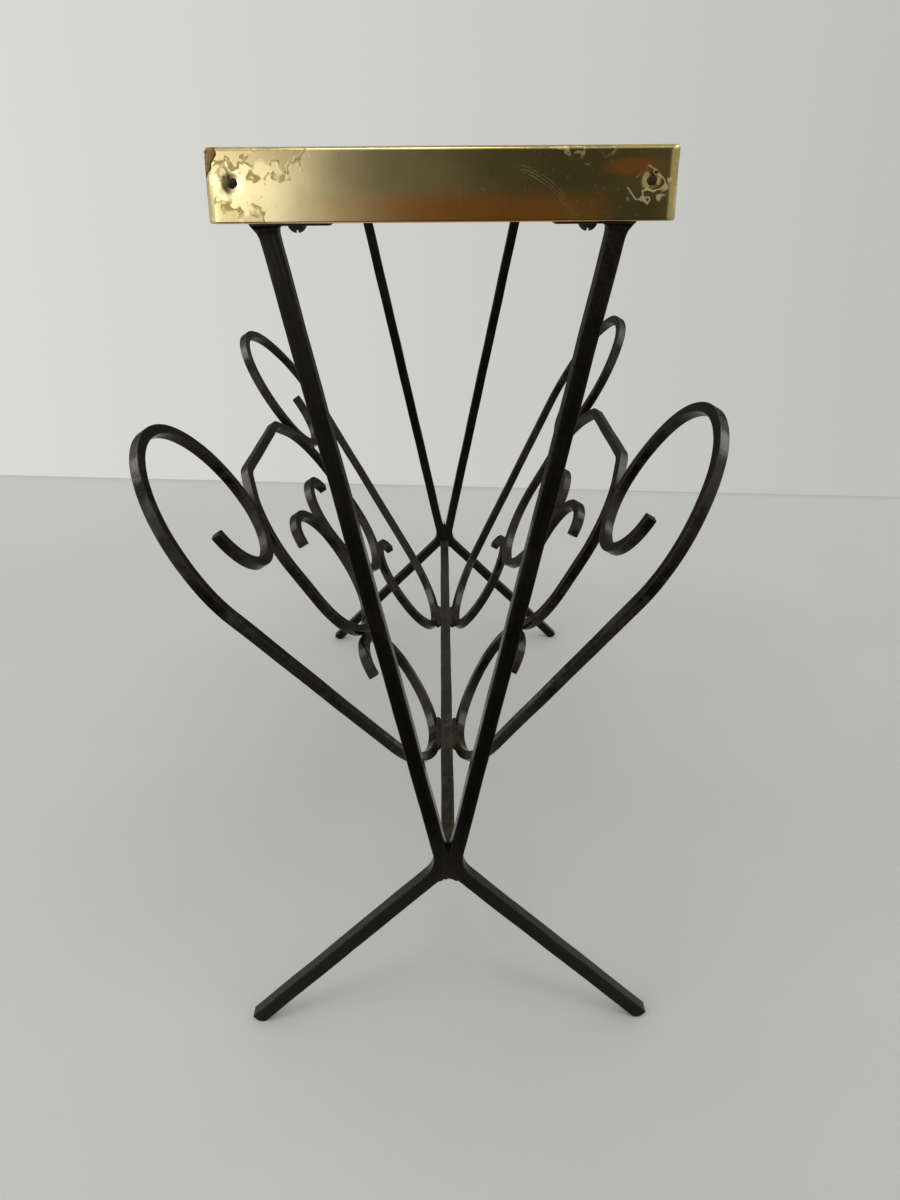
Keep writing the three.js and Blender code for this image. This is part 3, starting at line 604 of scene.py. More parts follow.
def patina_and_painted_reflection(node, s, clean, olive, copper):
    """The sheet's colour under its stains: an upper and a lower row of bands across the near end, partly a
    painted reflection, clouds of olive elsewhere, and a copper patch beside the right tack, partly a
    painted reflection too."""
    deep = 0.72 * olive
    # The two rows of bands are partly a painted reflection: the dark olive above and the copper below stand
    # in for dark and warm things that the sheet mirrors.
    upper = node("ValToRGB", s.across, stops=[
        (0.2, clean), (0.26, blend(0.75, clean, olive)), (0.34, blend(0.5, clean, olive)),
        (0.48, blend(0.35, clean, olive)), (0.58, olive), (0.72, deep), (0.82, blend(0.7, deep, olive)),
        (0.976, olive), (0.986, blend(0.4, clean, olive)), (0.993, clean)])
    lower = node("ValToRGB", s.across, stops=[
        (0.18, clean), (0.27, blend(0.6, clean, copper)), (0.36, blend(0.35, clean, copper)),
        (0.46, copper), (0.72, copper), (0.8, blend(0.6, copper, olive)), (0.86, deep), (0.93, deep),
        (0.972, olive), (0.99, clean)])
    low = node("ValToRGB", s.rise, stops=[(0.26, 1), (0.5, 0)])
    near = node("Mix", low, upper, lower, data_type="RGBA")
    rest = node("ValToRGB", s.glow, stops=[(0.35, clean), (0.55, blend(0.6, clean, olive)), (0.72, olive)])
    body = node("Mix", s.on_near, rest, near, data_type="RGBA")
    # The copper patch beside the right tack is partly a painted reflection.
    patch = node("Math", oval(node, s, 0.0185, 0.0078, 0.9, 3.4), 20, operation="MULTIPLY")
    patch = node("ValToRGB", patch, stops=[(0.13, 0.9), (0.27, 0)])
    patch = node("Math", patch, s.on_near, operation="MULTIPLY")
    return node("Mix", patch, body, 1.05 * copper, data_type="RGBA")


def near_stains(node, s):
    """Stains that crept in from the top, the left and the foot of the near end. From the top and the foot
    they reach less and less far in past a place across. Gives their inside and their edge."""
    reaches = []
    for inwards, depth, place, width in ((s.from_top, 0.0072, 0.19, 0.02),
                                         (s.from_foot, 0.0075, 0.08, 0.03)):
        inwards = node("Math", inwards, depth, operation="DIVIDE")
        past = node("Math", node("Math", s.across, place, operation="SUBTRACT"), 0, operation="MAXIMUM")
        past = node("Math", past, width, operation="DIVIDE")
        reaches.append(node("Math", inwards, past, operation="ADD"))
    top, foot = reaches
    left = node("Math", s.from_left, 0.0075, operation="DIVIDE")
    reach = node("Math", node("Math", top, left, operation="MINIMUM"), foot, operation="MINIMUM")
    return [node("Math", part, s.on_near, operation="MULTIPLY") for part in creep(node, s, reach, 4)]


def pale_lines(node, s):
    """The lower right part of a pale ring round the right tack, and a broken pale line under the top edge
    beside it."""
    ring = node("Math", oval(node, s, 0.013, 0.0135, 0.75, 1.2), 0.0062, operation="DIVIDE")
    ring = node("Math", s.lace, 2.2, ring, operation="MULTIPLY_ADD")
    ring = node("Math", ring, 0.25, operation="MULTIPLY")
    ring = node("ValToRGB", ring, stops=[(0.2, 0), (0.235, 0.85), (0.26, 0.85), (0.295, 0)])
    below = node("Math", node("Math", s.lo.y + 0.017, s.y, operation="SUBTRACT"),
                 node("Math", s.hi.z - 0.011, s.z, operation="SUBTRACT"), operation="ADD")
    below = node("ValToRGB", node("Math", below, 100, operation="MULTIPLY"), stops=[(0, 0), (0.1, 1)])
    ring = node("Math", ring, below, operation="MULTIPLY")
    shelf = node("Math", node("Math", s.across, 0.84, operation="SUBTRACT"), operation="ABSOLUTE")
    shelf = node("Math", shelf, 14, operation="MULTIPLY")
    shelf = node("Math", node("Math", s.from_top, 0.0045, operation="DIVIDE"), shelf, operation="ADD")
    patches = node("ValToRGB", s.patchy, stops=[(0.4, 0), (0.47, 0.6)])
    shelf = node("Math", creep(node, s, shelf, 5)[1], patches, operation="MULTIPLY")
    return node("Math", node("Math", ring, shelf, operation="MAXIMUM"), s.on_near, operation="MULTIPLY")


def foot_stains(node, s):
    """Edges of small stains along the foot of the long sides and the far end."""
    share = creep(node, s, node("Math", s.from_foot, 0.006, operation="DIVIDE"), 6)[1]
    for part in (node("ValToRGB", s.patchy, stops=[(0.56, 0), (0.62, 0.7)]), s.off_near):
        share = node("Math", share, part, operation="MULTIPLY")
    return share


def bare_corner(node, s, look):
    """The near left upper corner, where the lacquer and the metal's face are gone: a pitted brown, darker
    round its rim. Gives where it is and its colour."""
    chip = node("Math", node("Math", s.from_top, 0.0122, operation="DIVIDE"), 2, operation="POWER")
    chip = node("Math", chip, node("Math", s.from_left, 0.0055, operation="DIVIDE"), operation="ADD")
    chip = node("Math", s.lace, 0.4, chip, operation="MULTIPLY_ADD")
    chip = node("Math", node("Math", chip, 0.5, operation="MULTIPLY"), s.off_near, operation="ADD")
    brown = node("Mix", s.speck, look.bare, look.bare_dark, data_type="RGBA")
    rim = node("ValToRGB", chip, stops=[(0.38, 0), (0.46, 1)])
    brown = node("Mix", rim, brown, look.bare_rim, data_type="RGBA")
    return node("ValToRGB", chip, stops=[(0.48, 1), (0.5, 0)]), brown


def swung_scratches(node, s):
    """A sheaf of broken scratches, 1.1 mm apart, swung round a point below the near end. Real ones are
    finer, and these are as coarse as they need to be to show."""
    pivot = (s.lo.x, (s.lo.y + s.hi.y) / 2 - 0.022, s.hi.z - 0.041)
    swing = node("VectorMath", s.place, pivot, operation="DISTANCE")
    lanes = node("Math", node("Math", swing, per(1.111), operation="MULTIPLY"), operation="FRACT")
    swing = node("Math", swing, 20, operation="MULTIPLY")
    share = node("ValToRGB", lanes, stops=[(0.25, 0), (0.45, 1), (0.55, 1), (0.75, 0)])
    for value, stops in ((swing, [(0.625, 0), (0.65, 1), (0.705, 1), (0.73, 0)]),
                         (s.across, [(0.62, 0), (0.65, 1), (0.75, 0.8), (0.79, 0)]),
                         (s.speck, [(0.4, 0), (0.5, 1)])):
        share = node("Math", share, node("ValToRGB", value, stops=stops), operation="MULTIPLY")
    return share


def brass_sheet(look, box):
    """Rolled brass sheet under old lacquer: a mirror-like warm metal, gone olive and copper where the
    lacquer failed, and on the near end in bands that are partly a painted reflection, with crinkled stain
    edges near the tacks, fine scratches and a bare worn corner."""
    made, node, shader, place = new_material("lacquered_brass_tarnish_and_painted_reflection")
    clean, olive, copper, stain = map(np.array, (look.brass, look.olive, look.copper, look.tarnish))
    s = sheet_places(node, place, *box)
    inside, crinkle = near_stains(node, s)
    inside = node("Math", inside, 0.5, operation="MULTIPLY")
    pale, foot, swung = pale_lines(node, s), foot_stains(node, s), swung_scratches(node, s)
    bare, brown = bare_corner(node, s, look)
    rim = node("Math", s.from_top, 100, operation="MULTIPLY")
    rim = node("ValToRGB", rim, stops=[(0.05, 0.7), (0.11, 0)])
    rim = node("Math", rim, node("ValToRGB", s.patchy, stops=[(0.36, 0.5), (0.5, 1)]), operation="MULTIPLY")
    body = patina_and_painted_reflection(node, s, clean, olive, copper)
    for share, over in (
            (inside, 0.8 * stain), (crinkle, stain), (pale, 0.9 * clean),
            (foot, stain), (rim, 0.45 * stain),
            (node("ValToRGB", s.speck, stops=[(0.68, 0), (0.76, 0.45)]), 0.5 * stain),
            (node("ValToRGB", s.speck, stops=[(0.3, 0.5), (0.35, 0)]), clean),
            (node("ValToRGB", s.patchy, stops=[(0.35, 0), (0.65, 0.22)]), 0.62 * olive),
            (bare, brown), (node("Math", swung, 0.5, operation="MULTIPLY"), clean)):
        body = node("Mix", share, body, over, data_type="RGBA")
    lines = node("Math", crinkle, pale, operation="MAXIMUM")
    lines = node("Math", lines, foot, operation="MAXIMUM")
    rough = 0.14
    for share, more in ((lines, 0.25), (s.glow, 0.12), (bare, 0.5)):
        rough = node("Math", share, more, rough, operation="MULTIPLY_ADD")
    rough = node("Math", swung, 0.06, rough, operation="MULTIPLY_ADD", use_clamp=True)
    hair = node("Mapping", place, Rotation=(0.12, 0, 0), Scale=(per(16.67), per(16.67), per(0.3846)))
    hair = node("TexNoise", hair, Scale=1, Detail=2)
    relief = None
    for height, depth, strength in ((lines, 0.00004, 0.5), (hair, 0.00001, 0.3), (bare, 0.0004, 0.5)):
        relief = node("Bump", Height=height, Distance=depth, Strength=strength, Normal=relief)
    dull = node("Math", bare, 0.9, operation="MULTIPLY")
    fill(shader["Base Color"], body)
    fill(shader["Metallic"], node("Math", 1, dull, operation="SUBTRACT"))
    fill(shader["Roughness"], rough)
    fill(shader["Normal"], relief)
    return made


def rusted_iron(name, look, base):
    """Iron tack and screw heads: dark oxide with brown rust in its pores and a dull, pitted face."""
    made, node, shader, place = new_material(name)
    pits = node("TexNoise", place, Scale=per(1.111), Detail=4, Roughness=0.6)
    rusty = node("ValToRGB", pits, stops=[(0.48, 0), (0.66, 1)])
    fill(shader["Base Color"], node("Mix", rusty, base, look.rust, data_type="RGBA"))
    fill(shader["Metallic"], 0.55)
    fill(shader["Roughness"], node("Math", pits, 0.35, 0.35, operation="MULTIPLY_ADD"))
    fill(shader["Normal"], node("Bump", Height=pits, Distance=0.00012, Strength=0.7))
    return made


def stained_board(look):
    """Hardwood-faced board, stained brown and wiped with thin varnish: long grain along the table, short
    dark pores, drawn at 0.6 mm so that they show, and a soft satin face."""
    made, node, shader, place = new_material("stained_varnished_hardwood_board")
    wood, dark = np.array(look.wood), np.array(look.wood_dark)
    grain = node("Mapping", place, Scale=(per(454.5), per(33.33), per(33.33)))
    sway = node("TexNoise", grain, Scale=1, Detail=3)
    figure = node("TexWave", grain, Scale=0.55, Distortion=9, Detail=4, bands_direction="Y").node
    fill(figure.inputs["Detail Scale"], 1.2)
    pore = node("Mapping", place, Scale=(per(14.29), per(0.5882), per(0.5882)))
    pore = node("TexNoise", pore, Scale=1, Detail=2, Roughness=0.6)
    pore = node("ValToRGB", pore, stops=[(0.56, 0), (0.66, 1)])
    shade = node("Math", sway, 0.65, operation="MULTIPLY")
    shade = node("Math", figure.outputs["Fac"], 0.35, shade, operation="MULTIPLY_ADD")
    shade = node("ValToRGB", shade, stops=[(0.25, 0), (0.75, 1)])
    body = node("Mix", shade, dark, wood, data_type="RGBA")
    holes = node("Math", pore, 0.55, operation="MULTIPLY")
    fill(shader["Base Color"], node("Mix", holes, body, 0.45 * dark, data_type="RGBA"))
    fill(shader["Roughness"], node("Math", pore, 0.2, 0.36, operation="MULTIPLY_ADD"))
    face = node("Math", 1, pore, operation="SUBTRACT")
    fill(shader["Normal"], node("Bump", Height=face, Distance=0.00008, Strength=0.5))
    return made


def studio_floor(look, edge, slant):
    """Pale foam board: an even light grey with a faint mottle and a fine soft grain, with painted light
    that makes it lighter towards the wall and the left, and a painted shadow in a soft line at its foot.
    The wall's foot stands at the edge, and slants."""
    made, node, shader, place = new_material("pale_foam_board_floor")
    broad = node("TexNoise", place, Scale=per(333.3), Detail=4)
    grain = node("TexNoise", place, Scale=per(3.03), Detail=3)
    x, y, _ = node("SeparateXYZ", place).node.outputs
    deep = node("Math", y, -slant, x, operation="MULTIPLY_ADD")
    # Painted light: the floor is lighter towards the wall and towards the left.
    painted_light_lengthwise = node("MapRange", deep, -0.4, edge, 0.91, 1.06)
    painted_light_sideways = node("MapRange", y, -0.6, 0.6, -0.035, 0.035)
    level = node("Math", painted_light_lengthwise, painted_light_sideways, operation="ADD")
    broad = node("ValToRGB", broad, stops=[(0.3, 0), (0.7, 1)])
    level = node("Math", broad, 0.07, level, operation="MULTIPLY_ADD")
    # Painted shadow: a soft dark line along the foot of the wall.
    foot = node("Math", node("MapRange", deep, edge - 0.035, edge), 3, operation="POWER")
    level = node("Math", foot, -0.22, level, operation="MULTIPLY_ADD")
    tint = node("VectorMath", look.floor, level, operation="SCALE")
    fine = node("Math", grain, 0.12, operation="MULTIPLY")
    fill(shader["Base Color"], node("Mix", fine, tint, 0.8 * np.array(look.floor), data_type="RGBA"))
    fill(shader["Roughness"], 0.62)
    fill(shader["Normal"], node("Bump", Height=grain, Distance=0.0004, Strength=0.35))
    return made


# ---- operators ----------------------------------------------------------------------------------


class RACK_OT_board(bpy.types.Operator):
    """Build the wooden board of the top"""
    bl_idname = "rack.board"
    bl_label = "Board"

    def execute(self, context):
        top, _, _, look = settings(context)
        lo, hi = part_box("top_board")
        rim, field, soft = top.band_thickness + FIT, top.upper_lip + FIT, top.board_edge
        stations = top_plan(hi.x - lo.x + 2 * rim, hi.y - lo.y + 2 * rim, top.corner_radius, 0)[:-1]
        # From the underside's bevel up the edge, in under the band's lip, and up its rebate to the face.
        profile = np.array([(rim + soft, lo.z), (rim, lo.z + soft), (rim, hi.z - rim),
                            (field, hi.z - rim), (field, hi.z - soft),
                            (field + 0.3 * soft, hi.z - 0.3 * soft), (field + soft, hi.z)])
        reach = (top.corner_radius - profile[:, 0])[:, None, None]
        middle = np.array([(lo.x + hi.x) / 2, (lo.y + hi.y) / 2])
        rings = level_rings(middle + stations[:, :2] + reach * stations[:, 2:], profile[:, 1:])
        piece("board", [shell(rings)], stained_board(look), ["top_board"])
        return {"FINISHED"}


class RACK_OT_band(bpy.types.Operator):
    """Build the folded brass band round the top"""
    bl_idname = "rack.band"
    bl_label = "Brass band"

    def execute(self, context):
        top, _, _, look = settings(context)
        box = lo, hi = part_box("brass_band")
        middle = (lo.y + hi.y) / 2
        tacks = [middle_of(f"band_tack_near_{side}") for side in SIDES]
        stations = top_plan(hi.x - lo.x, hi.y - lo.y, top.corner_radius, top.seam,
                            [tack.y - middle for tack in tacks])
        stations[:, 1] += middle
        outline, outwards = stations[:, None, :2], stations[:, None, 2:]
        profile = self.profile(top, lo.z, hi.z)
        rings = level_rings(outline + (top.corner_radius - profile[:, :1]) * outwards, profile[:, 1])
        # The sheet sags a little between its folds, and is dented round the tacks: both push it inwards.
        y, z = rings[..., 1], rings[..., 2]
        length = travelled((outline + top.corner_radius * outwards)[:, 0])
        belly = np.sin(np.clip((z - lo.z) / (hi.z - lo.z), 0, 1) * math.pi) ** 0.8
        sag = top.sheet_wave * belly * (0.55 + 0.45 * ripple(length, 1.3, 0.21, 0.093, 0.057)[:, None])
        sag = sag * (1 - 0.25 * ripple(z, 0.4, 0.019))
        on_end = np.abs(outwards[..., 0]) > 0.99
        for tack in tacks:
            near = np.hypot(y - tack.y, z - tack.z) / (top.dimple_width / 2)
            sag = sag + top.dimple_depth * (1 - np.clip(near, 0, 1) ** 2) ** 2 * on_end
        sag = sag * np.clip(1 - (profile[:, 0] - top.band_thickness) / top.band_thickness, 0, 1)
        rings[..., :2] -= sag[..., None] * outwards
        # The near left upper corner is knocked: its fold is pushed in unevenly, less and less away from it.
        away = (rings[..., 0] - lo.x) ** 2 + (2.2 * (y - hi.y)) ** 2 + (0.9 * (z - hi.z)) ** 2
        knock = top.knock * np.exp(-away / 0.006 ** 2) * (1 + 0.8 * ripple(y + 2 * z, 0.7, 0.0043, 0.0027))
        rings[..., :2] -= knock[..., None] * outwards
        piece("brass_sheet_band", [shell(rings, along=length, across=travelled(profile))],
              brass_sheet(look, box), ["brass_band"])
        return {"FINISHED"}

    @staticmethod
    def profile(top, foot, head):
        """The bent sheet cut across, as (inset, height): round the lower lip, up the outside, over the
        upper fold, round the upper lip and back down the inside. Each fold is an arc."""
        thick, over, under = top.band_thickness, top.upper_fold, top.lower_fold
        bulge, tightest = 0.00012, 0.0002
        heights = np.linspace(foot + under, head - over, 44)[1:-1]
        inside = np.linspace(head - over, foot + under, 18)[1:-1]
        lower, upper = top.lower_lip, top.upper_lip
        return np.concatenate([
            [(lower, foot + thick), (lower + bulge, foot + thick / 2), (lower, foot)],
            arc_points((under, foot + under), under, 270, 180, 7),
            np.stack([np.zeros_like(heights), heights], 1),
            arc_points((over, head - over), over, 180, 90, 9),
            [(upper, head), (upper + bulge, head - thick / 2), (upper, head - thick)],
            arc_points((over, head - over), max(over - thick, tightest), 90, 180, 5),
            np.stack([np.full_like(inside, thick), inside], 1),
            arc_points((under, foot + under), max(under - thick, tightest), 180, 270, 4)])


class RACK_OT_tacks(bpy.types.Operator):
    """Build the four tacks that hold the band"""
    bl_idname = "rack.tacks"
    bl_label = "Tacks"

    def execute(self, context):
        top, _, _, look = settings(context)
        iron = rusted_iron("rusted_iron_tack", look, look.tack)
        dome, shank, taper, edge = top.tack_dome, top.tack_shank, 0.0014, 0.0001
        roll = np.linspace(0.05, QUARTER, 9)
        for k, (end, way) in enumerate(ENDS.items()):
            for j, side in enumerate(SIDES):
                node = f"band_tack_{end}_{side}"
                lo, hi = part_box(node)
                head = (hi.z - lo.z) / 2
                radius = np.append(head * np.sin(roll), [0.94 * head, shank + edge, shank, edge])
                height = np.append(dome * np.cos(roll) - dome, [-dome - edge, -dome - edge,
                                                                taper - top.tack_length, -top.tack_length])
                outer = ((lo if way < 0 else hi).x, *middle_of(node).yz)
                made = spun(radius, height, outer, (way, 0, 0), seed=1.7 * k + 0.9 * j)
                piece(f"tack_{end}_{side}", [made], iron, [node])
        return {"FINISHED"}


def bend_to(rise, reach, radius):
    """How far a bar bends from upright for its straight to reach a point that far up and out."""
    across = reach - radius
    return math.asin(radius / math.hypot(rise, across)) + math.atan2(across, rise)


class RACK_OT_legs(bpy.types.Operator):
    """Build the four bent legs with the welds at their upper ends"""
    bl_idname = "rack.legs"
    bl_label = "Legs"

    def execute(self, context):
        _, legs, _, look = settings(context)
        paint = painted_steel("black_brushed_enamel_on_drawn_steel", look, look.enamel, look.rubbed,
                              wear=0.16, gloss=0.2, mottle=0.04, shine=0.14)
        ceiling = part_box("leg_strap_near_left")[0].z
        path = self.path(legs, ceiling)
        for k, end in enumerate(ENDS):
            for j, (side, way) in enumerate(SIDES.items()):
                node = f"leg_{end}_{side}"
                origin = (middle_of(node).x, middle_of("spine_bar").y, 0)
                place, tangent, width = in_panel(*path, origin, (0, way, 0), (0, 0, 1))
                below = ceiling - place[:, 2]
                swell = legs.flare * np.exp(-np.clip(below, 0, None) / legs.flare_reach)
                lumpy = 1 + 0.25 * ripple(below, k + 2 * j, 0.011, 0.006)
                scale = np.stack([1 + swell * lumpy, 1 + 0.35 * swell], 1)
                bar = swept_bar(place, tangent, width, legs.bar, legs.corner, 3 * k + j, scale)
                # The upper end is mitred level under the strap, and the foot is ground flat on the floor.
                rings, length, around, rub = bar[0][:-3], bar[1][:-3], bar[2], bar[3][:-3]
                rings[-1] += tangent[-1] * ((ceiling - rings[-1][:, 2]) / tangent[-1][2])[:, None]
                rings[..., 2] = np.clip(rings[..., 2], 0, ceiling)
                # Hands have worn the upper ends, the right ones more.
                most, fade = 0.63 - 0.245 * way, 0.026
                handled = most * np.exp(-(ceiling - rings[..., 2]) / fade)
                made = shell(rings, along=length, across=around, rub=rub + handled)
                piece(f"leg_bar_{end}_{side}", [made], paint, [node])
        return {"FINISHED"}

    @staticmethod
    def path(legs, ceiling):
        """A leg's middle line beside its frame's own middle: from the foot, in along a straight, round the
        bend at the junction, where it stands upright, and out along a straight to the strap."""
        rise, radius = ceiling - legs.junction_height, legs.bend_radius
        upper = bend_to(rise, legs.top_spacing / 2 - legs.half_gap, radius)
        lower = bend_to(legs.junction_height, legs.foot_spread / 2 - legs.half_gap, radius)
        foot_end = legs.bar / 2 * math.sin(lower) - legs.foot_grind
        top_run = (rise - radius * math.sin(upper)) / math.cos(upper)
        foot_run = (legs.junction_height - foot_end - radius * math.sin(lower)) / math.cos(lower)
        apex = (legs.half_gap, legs.junction_height)
        return both_ways(bend_path(apex, -QUARTER, [(radius, -lower), (foot_run, 0)]),
                         bend_path(apex, QUARTER, [(radius, upper), (top_run, 0)]))


class RACK_OT_junctions(bpy.types.Operator):
    """Build the weld metal between the legs of each frame"""
    bl_idname = "rack.junctions"
    bl_label = "Junction welds"

    def execute(self, context):
        _, legs, _, look = settings(context)
        weld = painted_steel("painted_arc_weld", look, look.weld, look.rubbed,
                             wear=0.5, gloss=0.3, mottle=0.08, shine=0.14)
        overlap, crotch_half, squareness, fade = 0.002, 0.0034, 0.35, 0.0022
        y = np.linspace(-legs.arch_reach, legs.arch_reach, 61)[:, None]
        aside = np.abs(y) / legs.arch_reach
        roof = self.inner_faces(legs, y) + overlap + legs.crotch_rise * np.exp(-(y / crotch_half) ** 4)
        turn = np.arange(40) * 2 * math.pi / 40
        # A rounded box round each ring: the powers of the cosine and the sine square it off.
        c, s = (np.sign(wave) * np.abs(wave) ** squareness for wave in (np.cos(turn), np.sin(turn)))
        for k, end in enumerate(ENDS):
            node = f"arch_weld_{end}"
            x = middle_of(node).x
            arch = legs.arch_height - legs.arch_radius + np.sqrt(legs.arch_radius ** 2 - y ** 2)
            arch = arch + 0.0003 * ripple(y, k + 0.6, 0.0071, 0.0043)
            z = (arch + roof) / 2 + (roof - arch) / 2 * s
            low = np.exp(-np.clip(z - arch, 0, 1) / fade)
            # Its faces swell low down in the middle, and sink between the legs above and at both sides.
            lumps = 0.0003 * ripple(z + 3 * y, k + 1.1, 0.0047, 0.0031) + 0.0005 * low * (1 - aside ** 2)
            sunk = 0.0006 * np.clip((z - legs.junction_height) / 0.006, 0, 1)
            sunk = sunk + 0.0005 * np.clip(aside * 3 - 0.7, 0, 1)
            depth = (legs.bar / 2 + 0.0001 + lumps - sunk) * c
            z = z + 0.0005 * low * ripple(y + x, k + 0.4, 0.0041, 0.0026) * (1 - aside ** 2)
            rings = np.stack(np.broadcast_arrays(x + depth, middle_of("spine_bar").y + y, z), -1)
            made = shell(rings, rub=0.85 * low * (1 - aside ** 3))
            piece(f"junction_weld_{end}", [made], weld, [node])
        return {"FINISHED"}

    @staticmethod
    def inner_faces(legs, y):
        """Height of the legs' inner faces y away from the frame's middle: on the bend it is the junction's
        less radius * sin(turn), and past the bend it falls along the straight."""
        radius = legs.bend_radius + legs.bar / 2
        lower = bend_to(legs.junction_height, legs.foot_spread / 2 - legs.half_gap, legs.bend_radius)
        inward = legs.bend_radius + legs.half_gap - np.maximum(np.abs(y), legs.half_gap - legs.bar / 2)
        turn = np.minimum(np.arccos(np.clip(inward / radius, -1, 1)), lower)
        past = np.maximum(radius * math.cos(lower) - inward, 0) / math.tan(lower)
        return legs.junction_height - radius * np.sin(turn) - past


class RACK_OT_straps(bpy.types.Operator):
    """Build the straps on the leg tops and their slotted screws"""
    bl_idname = "rack.straps"
    bl_label = "Straps and screws"

    def execute(self, context):
        _, legs, _, look = settings(context)
        paint = painted_steel("black_enamel_on_flat_bar", look, look.enamel, look.rubbed,
                              wear=0.2, gloss=0.26, mottle=0.08, shine=0.26)
        steel = rusted_iron("blackened_steel_screw", look, look.screw)
        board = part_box("top_board")[0].z
        for end in ENDS:
            for side in SIDES:
                lo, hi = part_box(f"leg_strap_{end}_{side}")
                flat = plate(lo, (hi.x, hi.y, board), legs.strap_corner, legs.strap_edge)
                screw = self.screw(legs, *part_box(f"strap_screw_{end}_{side}"), lo.z)
                piece(f"strap_{end}_{side}", [shell(flat, rub=0.3)], paint,
                      [f"leg_strap_{end}_{side}"])
                piece(f"screw_{end}_{side}", screw, steel, [f"strap_screw_{end}_{side}"])
        return {"FINISHED"}

    @staticmethod
    def screw(legs, lo, hi, seat):
        """A slotted round head on rows of chords: row y reaches x = t * sqrt(R^2 - y^2), and its height is
        the dome's, or the slot's floor between the slot's two walls. A plain spun shank stands on it."""
        middle, radius, tall = (lo + hi) / 2, (hi.y - lo.y) / 2, seat - lo.z
        slot, wall, taper, point = legs.screw_slot / 2, 1e-5, 0.0043, 0.0002
        side = np.sin(np.linspace(-1, 1, 17) * QUARTER) * 0.999
        rows = side[np.abs(side) > 1.3 * slot / radius] * radius
        rows = np.sort(np.append(rows, [-slot, wall - slot, 0, slot - wall, slot]))[:, None]
        x = np.sin(np.linspace(-1, 1, 21) * QUARTER) * np.sqrt(radius ** 2 - rows ** 2)
        y = np.broadcast_to(rows, x.shape)
        ball = (radius ** 2 + tall ** 2) / (2 * tall)
        dome = np.sqrt(ball ** 2 - x ** 2 - y ** 2) - (ball - tall)
        under = np.where(np.abs(y) < slot - wall / 2, np.minimum(dome, tall - legs.slot_depth), dome)
        lower = np.stack([middle.x + x, middle.y + y, seat - np.maximum(under, 1e-5)], -1)
        upper = np.stack([middle.x + x, middle.y + y, np.full(x.shape, seat)], -1)
        shank, root, tip = legs.screw_shank, -0.001, legs.screw_length
        stem = spun([0.0001, shank, shank, point], [root, root, tip - taper, tip],
                    (*middle.xy, seat), (0, 0, 1))
        return [shell(np.concatenate([lower, upper[:, ::-1]], 1), rub=0.4), stem]


class RACK_OT_spine(bpy.types.Operator):
    """Build the spine bar between the two frames"""
    bl_idname = "rack.spine"
    bl_label = "Spine"

    def execute(self, context):
        _, _, scrolls, look = settings(context)
        paint = painted_steel("worn_mottled_enamel_on_spine_bar", look, look.spine, look.spine_rubbed,
                              wear=0.55, gloss=0.3, mottle=0.6, shine=0.16)
        lo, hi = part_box("spine_bar")
        middle = (lo + hi) / 2
        path = bend_path((lo.x - FIT, middle.z), 0, [(hi.x - lo.x + 2 * FIT, 0)], pitch=0.003)
        panel = in_panel(*path, (0, middle.y, 0), (1, 0, 0), (0, 0, 1))
        rings, length, around, rub = swept_bar(*panel, hi.z - lo.z, scrolls.corner, 4.4)
        shells = [shell(rings, along=length, across=around, rub=rub)]
        bead_size, drop = (0.0032, 0.0046, 0.0044), 0.0005
        for x in (lo.x, hi.x):
            shells.append(bead((x, middle.y, middle.z - drop), np.eye(3), bead_size, x * 40))
        piece("spine", shells, paint, ["spine_bar"])
        return {"FINISHED"}


def panel_axes(scrolls, side):
    """Where a side of the cradle starts beside the spine, and the directions across, up and out of it."""
    way = SIDES[side]
    tilt = scrolls.left_tilt if way > 0 else scrolls.right_tilt
    lo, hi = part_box("spine_bar")
    half = scrolls.bar / 2 * (math.cos(tilt) + math.sin(tilt))
    beside = (lo.y + hi.y) / 2 + way * ((hi.y - lo.y) / 2 + scrolls.gap + half)
    origin = np.array([middle_of(f"central_scroll_{side}").x, beside, (lo.z + hi.z) / 2])
    up = np.array([0, way * math.sin(tilt), math.cos(tilt)])
    across = np.array([1.0, 0, 0])
    return origin, across, up, np.cross(across, up)


def central_path(s):
    """The central scroll: each half runs from the top middle out over the shoulder, down the side, round
    the foot and up into its hook, and one mirrors the other."""
    half = bend_path((0, s.height), 0, [
        (s.top_run, 0), (s.shoulder_radius, s.shoulder_turn), (s.slope_run, 0),
        (s.side_radius, QUARTER - s.shoulder_turn), (s.side_run, 0), (s.foot_radius, math.pi),
        (s.hook_radius, s.hook_turn), (s.hook_tip_radius, s.hook_tip_turn)])
    return both_ways(mirrored(half), half)


def outer_path(s):
    """The +X outer scroll: from its spine weld out to the flank, lobe and upper curl, and inwards to the
    lower curl."""
    start = (s.weld_place, 0)
    inner = bend_path(start, math.pi, [
        (s.lower_radius, s.lower_turn), (s.lower_curl_radius, s.lower_curl_turn),
        (s.lower_tip_radius, s.lower_tip_turn)])
    outer = bend_path(start, 0, [
        (s.flank_radius, -s.flank_turn), (s.flank_run, 0), (s.lobe_radius, -s.lobe_turn),
        (s.return_radius, -s.return_turn), (s.upper_curl_radius, -s.upper_curl_turn)])
    return both_ways(outer, inner)


